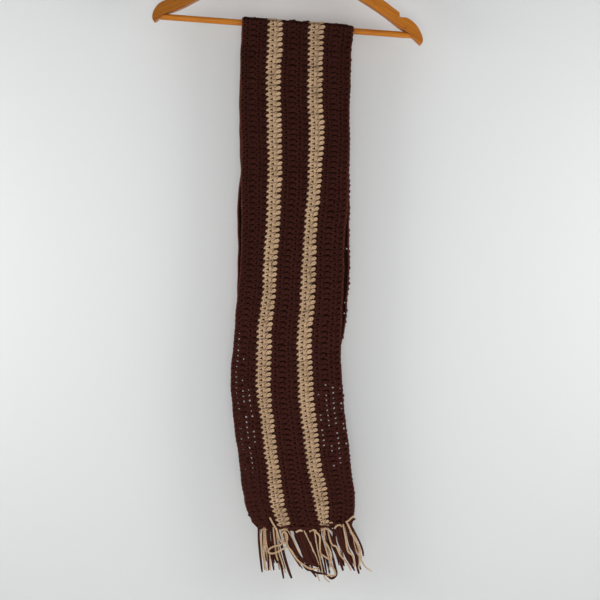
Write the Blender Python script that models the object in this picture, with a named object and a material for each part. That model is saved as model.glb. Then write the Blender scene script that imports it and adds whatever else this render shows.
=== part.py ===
"""A crochet scarf hung folded in half over the bar of a wooden clothes hanger.

Lengths are in metres. +X is to the right of the front view, +Y points away from the viewer and +Z is up.
The origin is the point inside the top of the hook where a rail or nail carries the hanger.
"""

from collections import namedtuple
from math import cos, pi, radians, sin

import bmesh
import bpy
import numpy as np

for old in list(bpy.data.objects):
    bpy.data.objects.remove(old, do_unlink=True)

MM = 0.001
SEAM = 0.3 * MM  # clearance between pieces that touch


def material(name, colour, roughness, metallic=0.0):
    made = bpy.data.materials.new(name)
    made.use_nodes = True
    shader = made.node_tree.nodes["Principled BSDF"]
    shader.inputs["Base Color"].default_value = (*colour, 1.0)
    shader.inputs["Roughness"].default_value = roughness
    shader.inputs["Metallic"].default_value = metallic
    return made


def solid(name, points, faces, look):
    """One named closed body from points in metres."""
    mesh = bpy.data.meshes.new(name)
    mesh.from_pydata([tuple(p) for p in points], [], faces)
    built = bmesh.new()
    built.from_mesh(mesh)
    bmesh.ops.recalc_face_normals(built, faces=built.faces)
    built.to_mesh(mesh)
    built.free()
    mesh.materials.append(look)
    placed = bpy.data.objects.new(name, mesh)
    bpy.context.scene.collection.objects.link(placed)
    return placed


def lofted(rings):
    """Points and faces of a body through rings of equally many points, closed at both ends."""
    count = len(rings[0])
    points = [p for ring in rings for p in ring]
    faces = []
    for k in range(len(rings) - 1):
        for i in range(count):
            j = (i + 1) % count
            faces.append((k * count + i, k * count + j, (k + 1) * count + j, (k + 1) * count + i))
    last = (len(rings) - 1) * count
    faces.append(tuple(range(count)))
    faces.append(tuple(range(last, last + count)))
    return points, faces


def smooth(table, key, at):
    """A column of a section table as a smooth curve over its first column."""
    xs = [getattr(row, table[0]._fields[0]) for row in table]
    ys = [getattr(row, key) for row in table]
    if at <= xs[0]:
        return ys[0]
    if at >= xs[-1]:
        return ys[-1]
    i = max(k for k in range(len(xs) - 1) if xs[k] <= at)
    slope = []
    for k in (i, i + 1):
        if 0 < k < len(xs) - 1:
            slope.append((ys[k + 1] - ys[k - 1]) / (xs[k + 1] - xs[k - 1]))
        else:
            slope.append((ys[i + 1] - ys[i]) / (xs[i + 1] - xs[i]))
    wide = xs[i + 1] - xs[i]
    t = (at - xs[i]) / wide
    return (
        ys[i] * (1 + 2 * t) * (1 - t) ** 2
        + ys[i + 1] * t * t * (3 - 2 * t)
        + wide * (slope[0] * t * (1 - t) ** 2 - slope[1] * t * t * (1 - t))
    )


# The looks: varnished wood, steel wire and the two yarns.
WOOD = material("varnished_wood", (0.40, 0.16, 0.032), 0.38)
STEEL = material("hook_steel", (0.62, 0.62, 0.61), 0.25, 1.0)
BROWN = material("brown_yarn", (0.028, 0.009, 0.007), 0.9)
TAN = material("tan_yarn", (0.36, 0.235, 0.145), 0.9)

# The hanger: two curved arms that meet at the neck, a round bar let into both, and a wire hook.
# It hangs 4.3 degrees out of level, so its parts are worked out level and then turned about the hook.
TILT = radians(4.3)
BAR_DROP = 189.8 * MM  # from the inside of the hook's top to the line the arms were drawn from
BAR_R = 5.0 * MM
BAR_LIFT = 0.9 * MM  # how far the bar's centre line lies above the line the arms were drawn from
BAR_LEFT = 209.5 * MM
BAR_RIGHT = 204.7 * MM
ARM_DEPTH = 14.0 * MM
ARM_EDGE = 2.5 * MM  # rounding of the arm's long edges
WIRE_R = 1.75 * MM
HOOK_R = 20.0 * MM  # inside radius of the hook

# Stations along an arm, from the neck to the tip, in millimetres from the bar's middle: the upper
# edge, the lower edge and the share of the full depth. The strap notch's step is at 180. The arms
# differ a little from the notch on: the left tip was sanded shorter than the right one.
Arm = namedtuple("Arm", "upper_x upper_z lower_x lower_z depth")
ARM = [
    Arm(0.15, 112.0, 0.15, 88.0, 1.0),
    Arm(40.0, 103.0, 34.0, 81.5, 1.0),
    Arm(80.0, 88.5, 68.0, 70.5, 1.0),
    Arm(116.0, 72.5, 102.0, 57.8, 1.0),
    Arm(152.4, 53.3, 139.0, 38.4, 1.0),
    Arm(167.0, 43.7, 153.5, 29.8, 1.0),
]
RIGHT_TIP = [
    Arm(180.2, 35.6, 166.0, 21.8, 1.0),
    Arm(181.0, 27.9, 171.0, 18.2, 1.0),
    Arm(192.7, 28.3, 184.0, 9.6, 1.0),
    Arm(200.0, 24.1, 192.0, 5.6, 1.0),
    Arm(208.2, 18.2, 199.7, 0.8, 1.0),
    Arm(215.4, 9.0, 206.5, -5.0, 1.0),
    Arm(220.2, -0.5, 212.0, -9.5, 0.95),
    Arm(221.5, -7.0, 217.5, -13.5, 0.7),
]
LEFT_TIP = [
    Arm(180.2, 35.6, 166.0, 21.5, 1.0),
    Arm(181.0, 28.9, 171.0, 18.9, 1.0),
    Arm(192.7, 30.0, 184.5, 12.0, 1.0),
    Arm(203.9, 26.5, 193.0, 8.4, 1.0),
    Arm(213.3, 20.1, 200.5, 5.0, 1.0),
    Arm(219.5, 10.5, 207.0, 0.4, 1.0),
    Arm(221.6, 2.3, 211.5, -4.4, 0.95),
    Arm(221.3, -4.5, 216.3, -8.0, 0.7),
]


def hung(x, y, z):
    """A point of the level hanger, from the bar's middle, as it hangs."""
    up = z - BAR_DROP
    return (x * cos(TILT) + up * sin(TILT), y, up * cos(TILT) - x * sin(TILT))


def arm(name, side):
    rings = []
    for row in ARM + (RIGHT_TIP if side > 0 else LEFT_TIP):
        high = np.array([row.upper_x, row.upper_z]) * MM
        low = np.array([row.lower_x, row.lower_z]) * MM
        tall = np.linalg.norm(high - low)
        half = ARM_DEPTH / 2 * row.depth
        soft = min(ARM_EDGE, half * 0.6)
        ring = []
        for y, t in (
            (-half, soft), (-half, tall - soft), (soft - half, tall), (half - soft, tall),
            (half, tall - soft), (half, soft), (half - soft, 0.0), (soft - half, 0.0),
        ):
            x, z = low + (high - low) * (t / tall)
            ring.append(hung(side * x, y, z))
        rings.append(ring)
    return solid(name, *lofted(rings), WOOD)


def rod(name, path, radius, sides, look):
    """A round rod of even thickness along a path that stays in the hanger's own plane."""
    rings = []
    for k, (x, z) in enumerate(path):
        before = path[max(k - 1, 0)]
        after = path[min(k + 1, len(path) - 1)]
        along = np.array([after[0] - before[0], after[1] - before[1]])
        along /= np.linalg.norm(along)
        ring = []
        for i in range(sides):
            turn = 2 * pi * (i + 0.5) / sides
            out = radius * cos(turn)
            ring.append(hung(x - along[1] * out, radius * sin(turn), z + along[0] * out))
        rings.append(ring)
    return solid(name, *lofted(rings), look)


def cut(piece, tool):
    tool.hide_render = True
    tool.display_type = "WIRE"
    boolean = piece.modifiers.new("socket", "BOOLEAN")
    boolean.operation = "DIFFERENCE"
    boolean.solver = "EXACT"
    boolean.object = tool


arms = [arm("hanger_arm_right", 1), arm("hanger_arm_left", -1)]
rod("hanger_bar", [(-BAR_LEFT, BAR_LIFT), (BAR_RIGHT, BAR_LIFT)], BAR_R, 16, WOOD)
socket = rod(
    "cut_bar_socket", [(-BAR_LEFT - SEAM, BAR_LIFT), (BAR_RIGHT + SEAM, BAR_LIFT)], BAR_R + SEAM, 16, WOOD
)

# The hook's stem stands in a hole between the arms, bends to the right and runs over to the left.
STEM_FOOT = 94.0 * MM
HOOK_MID = BAR_DROP - HOOK_R
wire = [(0.0, STEM_FOOT + SEAM), (0.0, 118.0 * MM), (0.0, 138.0 * MM)]
bend_r = HOOK_R + WIRE_R
wire += [(1.2 * MM, 143.7 * MM), (5.5 * MM, 147.8 * MM)]
for step in range(16):
    turn = radians(-60.0 + step * 17.0)
    wire.append((bend_r * cos(turn), HOOK_MID + bend_r * sin(turn)))
rod("hanger_hook", wire, WIRE_R, 8, STEEL)
stem_hole = rod("cut_stem_hole", [(0.0, STEM_FOOT), (0.0, 130.0 * MM)], WIRE_R + SEAM, 8, STEEL)
for piece in arms:
    cut(piece, socket)
    cut(piece, stem_hole)

# The scarf: one worked cloth, 16 rows wide, laid over the bar so that both halves hang.
# Its lengthwise colour bands are separate pieces, each with a front fall, a back fall and
# the stretch over the bar between them.
WALL = 3.5 * MM
OVER_BAR = BAR_R + SEAM + WALL / 2  # from the bar's axis to the middle of the cloth
LEVEL = 24 * MM  # about the height of one section of a fall

# Front fall, top to bottom, in millimetres: height, the two edges and the edges of the tan
# bands between them, and how far the cloth stands in front of the bar's axis.
Front = namedtuple("Front", "drop left tan_a tan_b tan_c tan_d right depth bow")
FRONT = [
    Front(180.0, -88.8, -48.1, -22.0, 18.7, 46.5, 92.7, 7.0, 0.0),
    Front(245.0, -91.3, -50.7, -24.9, 16.5, 42.2, 88.8, 6.2, 0.5),
    Front(310.0, -92.1, -51.3, -26.4, 16.5, 42.2, 86.4, 5.4, 1.5),
    Front(376.0, -90.5, -49.0, -24.1, 18.1, 44.5, 85.6, 4.8, 2.5),
    Front(482.0, -90.5, -50.2, -25.6, 14.2, 36.7, 83.1, 5.0, 3.0),
    Front(555.0, -90.0, -54.6, -30.3, 7.8, 31.3, 77.4, 5.6, 2.5),
    Front(620.0, -95.4, -57.7, -34.2, 4.7, 31.3, 76.3, 6.0, 2.0),
    Front(694.0, -101.9, -66.2, -40.4, -0.8, 25.1, 72.5, 5.4, 1.5),
    Front(775.0, -107.6, -67.6, -42.1, 0.2, 26.6, 74.2, 4.6, 1.5),
    Front(832.0, -102.7, -60.8, -38.1, 5.5, 32.1, 79.9, 4.6, 2.0),
    Front(897.0, -94.5, -52.2, -30.3, 14.2, 39.1, 87.2, 5.2, 2.0),
    Front(962.0, -84.8, -45.1, -21.0, 25.1, 51.5, 94.5, 5.4, 1.0),
    Front(1008.0, -70.0, -31.5, -10.1, 37.5, 53.5, 91.5, 4.8, 0.0),
]

# Back fall: height, middle, width measured along the cloth, how far the left and right edges
# roll away from the viewer (degrees turned by the outer 60 mm) and depth behind the bar's axis.
Back = namedtuple("Back", "drop middle width roll_left roll_right depth")
BACK = [
    Back(180.0, 1.9, 181.5, 0.0, 0.0, 7.0),
    Back(245.0, -1.6, 180.0, 0.0, 0.0, 6.2),
    Back(343.0, -3.7, 180.8, 0.0, 0.0, 5.0),
    Back(425.0, -2.6, 178.5, 0.0, 0.0, 4.4),
    Back(465.0, -4.9, 182.5, 0.0, 0.0, 4.4),
    Back(596.0, -5.2, 182.5, 0.0, 0.0, 4.6),
    Back(653.0, -8.1, 181.5, 18.0, 10.0, 4.6),
    Back(710.0, -10.6, 181.5, 66.0, 50.0, 4.4),
    Back(750.0, -14.7, 181.5, 94.0, 90.0, 4.2),
    Back(791.0, -19.6, 181.5, 130.0, 158.0, 4.2),
    Back(864.0, -17.1, 181.5, 172.0, 172.0, 4.4),
    Back(915.0, -7.3, 181.5, 115.0, 105.0, 4.8),
    Back(962.0, 2.5, 181.0, 22.0, 18.0, 5.2),
    Back(1008.0, 11.0, 164.0, 0.0, 0.0, 4.8),
]
ROLLED = 60 * MM

# The hems: the height of each end of the cloth from its left corner to its right one.
Hem = namedtuple("Hem", "across front back")
HEM = [
    Hem(0.0, 989.0, 984.0),
    Hem(0.05, 1000.0, 996.0),
    Hem(0.1, 1008.5, 1003.0),
    Hem(0.2, 1011.0, 1008.0),
    Hem(0.5, 1013.0, 1010.0),
    Hem(0.8, 1006.5, 1006.0),
    Hem(1.0, 997.0, 998.0),
]

# Where the colour bands meet, as shares of the width, and how finely each is divided across.
Band = namedtuple("Band", "name start end columns look")
BANDS = [
    Band("panel_left", 0.0, 0.22, 2, BROWN),
    Band("stripe_left", 0.22, 0.362, 1, TAN),
    Band("panel_middle", 0.362, 0.6, 2, BROWN),
    Band("stripe_right", 0.6, 0.742, 1, TAN),
    Band("panel_right", 0.742, 1.0, 2, BROWN),
]
BAND_EDGES = [0.0, 0.22, 0.362, 0.6, 0.742, 1.0]
FRONT_KEYS = ["left", "tan_a", "tan_b", "tan_c", "tan_d", "right"]


def bar_height(across):
    """Height of the bar's axis under the place where this part of the cloth lies over it."""
    x = (-88.8 + 181.5 * across) * MM
    return hung(x, 0.0, BAR_LIFT)[2] + (hung(x, 0.0, BAR_LIFT)[0] - x) * sin(TILT)


def front_point(across, z):
    """Middle of the cloth on the front fall, at a share of its width and a height."""
    drop = -z / MM
    at = [smooth(FRONT, key, drop) for key in FRONT_KEYS]
    x = float(np.interp(across, BAND_EDGES, at)) + min(across, 0.0) + max(across - 1.0, 0.0)
    bow = smooth(FRONT, "bow", drop) * (2 * across - 1) ** 2
    return np.array([x, bow - smooth(FRONT, "depth", drop), z / MM]) * MM


def back_point(across, z):
    """Middle of the cloth on the back fall, with its edges rolled away from the front."""
    drop = -z / MM
    width = smooth(BACK, "width", drop) * MM
    middle = smooth(BACK, "middle", drop) * MM
    depth = smooth(BACK, "depth", drop) * MM
    out = (across - 0.5) * width
    side = -1 if out < 0 else 1
    turn = radians(max(smooth(BACK, "roll_left" if side < 0 else "roll_right", drop), 0.05))
    flat = width / 2 - ROLLED
    over = abs(out) - flat
    if over <= 0:
        return np.array([middle + out, depth, z])
    bend = ROLLED / turn
    swept = over / bend
    x = flat + bend * sin(swept)
    return np.array([middle + side * x, depth + bend * (1 - cos(swept)), z])


def fall_point(face, across, down):
    """The middle of the cloth from the bar (down 0) to the hem (down 1)."""
    top = bar_height(across)
    hem = -smooth(HEM, face, across) * MM
    z = top + (hem - top) * down
    made = front_point(across, z) if face == "front" else back_point(across, z)
    near = max(1.0 - down / 0.04, 0.0)
    made[1] += near * ((-OVER_BAR if face == "front" else OVER_BAR) - made[1])
    return made


def over_point(across, turn):
    """The middle of the cloth over the bar: turn is 0 at the front and pi at the back."""
    ahead = fall_point("front", across, 0.0)
    behind = fall_point("back", across, 0.0)
    x = ahead[0] + (behind[0] - ahead[0]) * turn / pi
    return np.array([x, -OVER_BAR * cos(turn), ahead[2] + OVER_BAR * sin(turn)])


def cloth_ring(place, start, end, columns, shift):
    """One closed section: the cloth's viewer side left to right, then its other side back."""
    sides = [[], []]
    for k in range(columns + 1):
        across = start + (end - start) * k / columns
        point = place(across)
        normal = shift(place(across + 0.002) - place(across - 0.002))
        normal /= np.linalg.norm(normal)
        sides[0].append(point + normal * WALL / 2)
        sides[1].append(point - normal * WALL / 2)
    return [tuple(p) for p in sides[0] + sides[1][::-1]]


def fall(name, face, start, end, columns, look):
    levels = round((1.01 - 0.19) / LEVEL)
    rings = []
    for k in range(levels + 1):
        down = k / levels if k else SEAM / 0.82
        rings.append(
            cloth_ring(
                lambda across, d=down: fall_point(face, across, d),
                start, end, columns,
                lambda along: np.array([along[1], -along[0], 0.0]),
            )
        )
    return solid(name, *lofted(rings), look)


def over_bar(name, start, end, columns, look):
    steps = 10
    rings = []
    for k in range(steps + 1):
        turn = pi * k / steps
        rings.append(
            cloth_ring(
                lambda across, t=turn: over_point(across, t),
                start, end, columns,
                lambda along, t=turn: np.array([0.0, -cos(t), sin(t)]),
            )
        )
    return solid(name, *lofted(rings), look)


WIDTH = 181.5 * MM
for band in BANDS:
    trim = SEAM / WIDTH / 2
    start = band.start + (trim if band.start > 0 else 0.0)
    end = band.end - (trim if band.end < 1 else 0.0)
    outer = band.name in ("panel_left", "panel_right")
    fall(band.name + "_front", "front", start, end, band.columns, band.look)
    fall(band.name + "_back", "back", start, end, 5 if outer else 2, band.look)
    over_bar(band.name + "_over_bar", start, end, band.columns, band.look)

# The fringe at each end: eight bundles of strands knotted to the last row. Each side's strands
# hang from a narrow strip that lies under the hem, a seam's clearance away.
STRIP_TALL = 4.0 * MM
STRAND_W = 1.9 * MM
STRANDS = 7

# A row per bundle, in millimetres but for the shares of the hem's length: where it is knotted and
# how much of the hem it takes, how far its tips drift to the right and fan out, how sharply it
# sweeps, and how long it hangs on the front and on the back.
Bundle = namedtuple("Bundle", "across share drift fan sweep front back")
BUNDLES = [
    Bundle(0.088, 0.090, 8.0, 4.5, 1.2, 67.0, 66.0),
    Bundle(0.185, 0.090, 20.0, 2.0, 1.3, 76.0, 70.0),
    Bundle(0.305, 0.090, 37.0, -0.6, 2.0, 60.0, 72.0),
    Bundle(0.433, 0.090, 29.0, -0.6, 1.5, 75.0, 70.0),
    Bundle(0.550, 0.090, 21.0, -0.6, 1.3, 77.0, 72.0),
    Bundle(0.685, 0.090, 15.0, 1.0, 1.2, 83.0, 70.0),
    Bundle(0.837, 0.090, 11.0, 0.5, 1.2, 78.0, 72.0),
    Bundle(0.940, 0.090, 16.0, 3.0, 1.3, 78.0, 66.0),
]


def fringe(name, face, look):
    """The strip under one hem with the strands drawn down out of its lower side."""
    cells = []
    for row in BUNDLES:
        pitch = row.share / STRANDS
        for k in range(STRANDS):
            middle = row.across + (k - (STRANDS - 1) / 2) * pitch
            half = STRAND_W / 2 / WIDTH
            uneven = 1.0 - 0.10 * abs(sin(2.3 * k + 9.0 * row.across))
            cells.append((middle - half, middle + half, row, k, uneven))
    edges = [0.002]
    for cell in cells:
        edges += [cell[0], cell[1]]
    edges.append(0.998)
    points = []
    half = STRAND_W / 2
    for level in (0, 1):
        for across in edges:
            hem = fall_point(face, across, 1.0)
            z = hem[2] - SEAM - level * STRIP_TALL
            points.append((hem[0], hem[1] - half, z))
            points.append((hem[0], hem[1] + half, z))
    count = len(edges)
    low = 2 * count
    faces = [(0, 1, low + 1, low), (2 * count - 1, 2 * count - 2, low + 2 * count - 2, low + 2 * count - 1)]
    for i in range(count - 1):
        a, b, c, d = 2 * i, 2 * i + 1, 2 * i + 2, 2 * i + 3
        faces.append((a, c, d, b))
        faces.append((a, low + a, low + c, c))
        faces.append((b, d, low + d, low + b))
        if i % 2 == 0:
            faces.append((low + a, low + b, low + d, low + c))
    for n, (_, _, row, k, uneven) in enumerate(cells):
        i = 2 * n + 1
        ring = [low + 2 * i, low + 2 * i + 1, low + 2 * i + 3, low + 2 * i + 2]
        corners = [np.array(points[j]) for j in ring]
        long = (row.front if face == "front" else row.back) * MM
        plane = 1 if BUNDLES.index(row) % 2 else -1
        levels = 4
        for step in range(1, levels + 1):
            t = uneven * step / levels
            drift = (row.drift * t ** row.sweep + row.fan * (k / 3 - 1) * t) * MM
            sway = (plane * 1.6 + 0.25 * sin(2.6 * t + 0.9 * k)) * t * MM
            narrow = 1.0 - 0.25 * t
            centre = sum(corners) / 4
            fresh = []
            for corner in corners:
                arm_out = (corner - centre) * narrow
                arm_out[2] = (corner - centre)[2] * (1.0 - t)
                moved = centre + arm_out + np.array([drift, sway, -long * t])
                fresh.append(len(points))
                points.append(tuple(moved))
            for j in range(4):
                faces.append((ring[j], ring[(j + 1) % 4], fresh[(j + 1) % 4], fresh[j]))
            ring = fresh
        faces.append(tuple(ring))
    return solid(name, points, faces, look)


fringe("fringe_front", "front", BROWN)
fringe("fringe_back", "back", BROWN)
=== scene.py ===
"""The looks of a crochet scarf that hangs folded in half over the bar of a wooden clothes hanger.

Lengths are in metres where nothing else is said. +X is to the right of the front view, +Y points away from
the viewer, +Z is up, and the origin is the point inside the top of the hook.
"""

from collections import namedtuple
from math import cos, pi, radians, sin

import bmesh
import bpy
import numpy as np
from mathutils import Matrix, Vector


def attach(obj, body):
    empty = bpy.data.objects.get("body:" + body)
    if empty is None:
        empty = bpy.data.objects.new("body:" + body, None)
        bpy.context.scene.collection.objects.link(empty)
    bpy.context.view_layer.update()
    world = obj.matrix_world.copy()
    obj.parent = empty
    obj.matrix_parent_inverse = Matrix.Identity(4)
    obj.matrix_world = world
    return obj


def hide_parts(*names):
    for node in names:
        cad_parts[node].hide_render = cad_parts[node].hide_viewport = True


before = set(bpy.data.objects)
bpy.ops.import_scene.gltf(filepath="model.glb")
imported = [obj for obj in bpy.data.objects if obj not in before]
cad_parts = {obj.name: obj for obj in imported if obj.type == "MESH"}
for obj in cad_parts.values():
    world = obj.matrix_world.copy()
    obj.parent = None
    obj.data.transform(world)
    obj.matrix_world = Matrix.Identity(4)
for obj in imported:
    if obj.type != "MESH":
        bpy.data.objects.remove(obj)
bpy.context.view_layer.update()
MM = 0.001

# ---------------------------------------------------------------------------------------------
# The hanger's arms. Each is sawn from a board in one long curve, rounded over along its edges and
# varnished. A step in the upper edge keeps straps from sliding off. They meet in a joint at the neck.

TILT = radians(4.3)  # the hanger hangs this much out of level
BAR_DROP = 189.8 * MM  # from the hang point down to the line the arms were drawn from
ARM_DEPTH = 14.0 * MM
ARM_ROUND = 3.8 * MM
ARM_SLOPE = radians(27.0)  # the grain runs down along an arm
CORNER = radians(50)  # an edge that turns by more than this looks sharp
WOOD_RINGS = [(0.25, (0.40, 0.118, 0.009)), (0.5, (0.49, 0.162, 0.014)), (0.75, (0.60, 0.220, 0.022))]
WOOD_PORES = [(0.38, (0.62, 0.55, 0.5)), (0.52, (1.0, 1.0, 1.0))]

# An arm's outline in millimetres from the bar's middle, each run a smooth curve to the next corner.
# The arms differ a little from the notch on: the left tip was sanded shorter than the right one.
ARM_TOP = [
    (0.15, 112.0), (40.0, 103.0), (80.0, 88.5), (116.0, 72.5), (152.4, 53.3), (167.0, 43.9), (180.2, 35.6),
]
ARM_UNDER = [
    (166.0, 21.8), (153.5, 29.8), (139.0, 38.4), (102.0, 57.8), (68.0, 70.5), (34.0, 81.5), (0.15, 88.0),
]
RIGHT_STEP = [(181.0, 28.4), (186.5, 27.9), (192.7, 28.1)]
RIGHT_TIP = [
    (192.7, 28.1), (200.0, 24.3), (208.2, 18.0), (215.2, 9.0), (220.2, -0.8), (221.6, -7.5), (220.4, -12.3),
    (217.5, -14.0),
]
RIGHT_UNDER = [
    (217.5, -14.0), (212.0, -9.5), (206.5, -5.0), (199.7, 0.8), (192.0, 5.6), (184.0, 9.6), (171.0, 18.2),
]
LEFT_STEP = [(181.0, 29.0), (186.5, 29.4), (193.5, 29.8)]
LEFT_TIP = [
    (193.5, 29.8), (203.9, 26.5), (213.3, 20.1), (219.5, 10.5), (221.7, 2.3), (221.5, -4.0), (219.3, -7.8),
    (216.2, -8.4),
]
LEFT_UNDER = [
    (216.2, -8.4), (211.5, -4.4), (207.0, 0.4), (200.5, 5.0), (193.0, 8.4), (184.5, 12.0), (171.0, 18.9),
]


def hung(x, y, z):
    """A point of the level hanger, from the bar's middle, as it hangs."""
    up = z - BAR_DROP
    return (x * cos(TILT) + up * sin(TILT), y, up * cos(TILT) - x * sin(TILT))


def flowing(points, finer):
    """The points of a smooth curve through some points, each stretch between two divided evenly."""
    given = [np.array(p, dtype=float) for p in points]
    given = [2 * given[0] - given[1]] + given + [2 * given[-1] - given[-2]]
    run = []
    for a, b, c, d in zip(given, given[1:], given[2:], given[3:]):
        for k in range(finer):
            t = k / finer
            bend = (2 * a - 5 * b + 4 * c - d) * t * t + (3 * b - a - 3 * c + d) * t ** 3
            run.append(0.5 * (2 * b + (c - a) * t + bend))
    run.append(given[-2])
    return run


def linked(name, mesh, soft=True):
    """A mesh as an object in the scene, shaded soft or flat."""
    made = bpy.data.objects.new(name, mesh)
    bpy.context.scene.collection.objects.link(made)
    mesh.polygons.foreach_set("use_smooth", [soft] * len(mesh.polygons))
    return made


def settled(made):
    """The object with its modifiers carried out, as a plain mesh."""
    evaluated = made.evaluated_get(bpy.context.evaluated_depsgraph_get())
    mesh = bpy.data.meshes.new_from_object(evaluated)
    made.modifiers.clear()
    made.data = mesh
    mesh.name = made.name
    return made


def keep_grain(mesh, along, across, tone):
    """Stores how far each point lies along, across and through its board, and how light the board is."""
    place = np.empty(len(mesh.vertices) * 3)
    mesh.vertices.foreach_get("co", place)
    place = place.reshape(-1, 3)
    board = np.stack([place @ np.array(along), place @ np.array(across), place[:, 1]], axis=1)
    grain = mesh.attributes.new("grain", "FLOAT_VECTOR", "POINT")
    grain.data.foreach_set("vector", board.ravel())
    mesh.attributes.new("tone", "FLOAT", "POINT").data.foreach_set("value", np.full(len(board), tone))


def arm(name, side, tone):
    """One arm, to the right of the neck for side 1 and to the left for side -1."""
    step, tip, under = (RIGHT_STEP, RIGHT_TIP, RIGHT_UNDER) if side > 0 else (LEFT_STEP, LEFT_TIP, LEFT_UNDER)
    outline = flowing(ARM_TOP, 6) + flowing(step, 3) + flowing(tip, 5)[1:] + flowing(under + ARM_UNDER, 6)[1:]
    shape = bmesh.new()
    front = []
    for x, z in outline:
        front.append(shape.verts.new(hung(side * x * MM, -ARM_DEPTH / 2, z * MM)))
    face = shape.faces.new(front)
    drawn = bmesh.ops.extrude_face_region(shape, geom=[face])
    for vert in drawn["geom"]:
        if isinstance(vert, bmesh.types.BMVert):
            vert.co.y += ARM_DEPTH
    bmesh.ops.recalc_face_normals(shape, faces=shape.faces)
    mesh = bpy.data.meshes.new(name)
    shape.to_mesh(mesh)
    shape.free()
    made = linked(name, mesh)
    rounded = made.modifiers.new("rounded edges", "BEVEL")
    rounded.width = ARM_ROUND
    rounded.segments = 4
    rounded.limit_method = "ANGLE"
    rounded.angle_limit = CORNER
    made = settled(made)
    made.data.set_sharp_from_angle(angle=CORNER)
    lean = ARM_SLOPE + side * TILT
    keep_grain(made.data, (side * cos(lean), 0, -sin(lean)), (side * sin(lean), 0, cos(lean)), tone)
    return made


def new_group(name, sockets, kind="ShaderNodeTree"):
    """A node group with its inputs and outputs, each a name, a way, a kind of value and its first value."""
    group = bpy.data.node_groups.new(name, kind)
    for label, way, value, start in sockets:
        socket = group.interface.new_socket(label, in_out=way, socket_type="NodeSocket" + value)
        if start is not None:
            socket.default_value = start
    return group, group.nodes.new("NodeGroupInput"), group.nodes.new("NodeGroupOutput")


def maths(tree, operation, *values):
    """A Math node fed by sockets or plain numbers."""
    node = tree.nodes.new("ShaderNodeMath")
    node.operation = operation
    for slot, value in enumerate(values):
        if isinstance(value, bpy.types.NodeSocket):
            tree.links.new(value, node.inputs[slot])
        else:
            node.inputs[slot].default_value = value
    return node.outputs[0]


def scaled(tree, vector, size):
    node = tree.nodes.new("ShaderNodeVectorMath")
    node.operation = "MULTIPLY"
    tree.links.new(vector, node.inputs[0])
    node.inputs[1].default_value = size
    return node.outputs[0]


def noise(tree, vector, scale, detail=2.0, rough=0.5, warp=0.0):
    node = tree.nodes.new("ShaderNodeTexNoise")
    tree.links.new(vector, node.inputs["Vector"])
    node.inputs["Scale"].default_value = scale
    node.inputs["Detail"].default_value = detail
    node.inputs["Roughness"].default_value = rough
    node.inputs["Distortion"].default_value = warp
    return node.outputs["Fac"]


def ramp(tree, value, stops):
    node = tree.nodes.new("ShaderNodeValToRGB")
    while len(node.color_ramp.elements) < len(stops):
        node.color_ramp.elements.new(0.5)
    for element, (at, colour) in zip(node.color_ramp.elements, stops):
        element.position = at
        element.color = (*colour, 1.0)
    tree.links.new(value, node.inputs["Fac"])
    return node.outputs["Color"]


def blended(tree, share, a, b, way="MIX"):
    node = tree.nodes.new("ShaderNodeMix")
    node.data_type = "RGBA"
    node.blend_type = way
    for slot, value in ((0, share), (6, a), (7, b)):
        if isinstance(value, bpy.types.NodeSocket):
            tree.links.new(value, node.inputs[slot])
        else:
            node.inputs[slot].default_value = value
    return node.outputs[2]


def board_figure():
    """Growth rings and fine pores that run along a board, as one mask each."""
    group, given, out = new_group(
        "board_figure",
        [
            ("Grain", "INPUT", "Vector", None),
            ("Rings", "OUTPUT", "Float", None),
            ("Pores", "OUTPUT", "Float", None),
        ],
    )
    broad = noise(group, scaled(group, given.outputs["Grain"], (4.0, 90.0, 60.0)), 1.0, 3.0, 0.55, 0.6)
    bands = maths(group, "FRACT", maths(group, "MULTIPLY", broad, 6.0))
    fine = noise(group, scaled(group, given.outputs["Grain"], (45.0, 2600.0, 2600.0)), 1.0, 2.0, 0.6)
    rings = maths(group, "ADD", maths(group, "MULTIPLY", broad, 0.7), maths(group, "MULTIPLY", bands, 0.3))
    group.links.new(rings, out.inputs["Rings"])
    group.links.new(fine, out.inputs["Pores"])
    return group


BOARD = board_figure()


def new_finish(name, settings):
    """A material with its nodes and its Principled shader, some of whose sockets are set."""
    made = bpy.data.materials.new(name)
    made.use_nodes = True
    shader = made.node_tree.nodes["Principled BSDF"]
    for label, value in settings.items():
        shader.inputs[label].default_value = value
    return made, made.node_tree, shader


def kept(tree, name, output="Fac"):
    """A value that is stored on the piece."""
    node = tree.nodes.new("ShaderNodeAttribute")
    node.attribute_name = name
    return node.outputs[output]


def spread(tree, value, low, high, start=0.0, end=1.0):
    """A value that runs from low to high while the given one runs from start to end."""
    node = tree.nodes.new("ShaderNodeMapRange")
    for label, limit in (("From Min", start), ("From Max", end), ("To Min", low), ("To Max", high)):
        node.inputs[label].default_value = limit
    tree.links.new(value, node.inputs["Value"])
    return node.outputs[0]


def raised(tree, shader, height, strength, distance):
    """Lets a height show as relief in the finish."""
    bump = tree.nodes.new("ShaderNodeBump")
    bump.inputs["Strength"].default_value = strength
    bump.inputs["Distance"].default_value = distance
    tree.links.new(height, bump.inputs["Height"])
    tree.links.new(bump.outputs[0], shader.inputs["Normal"])


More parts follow.
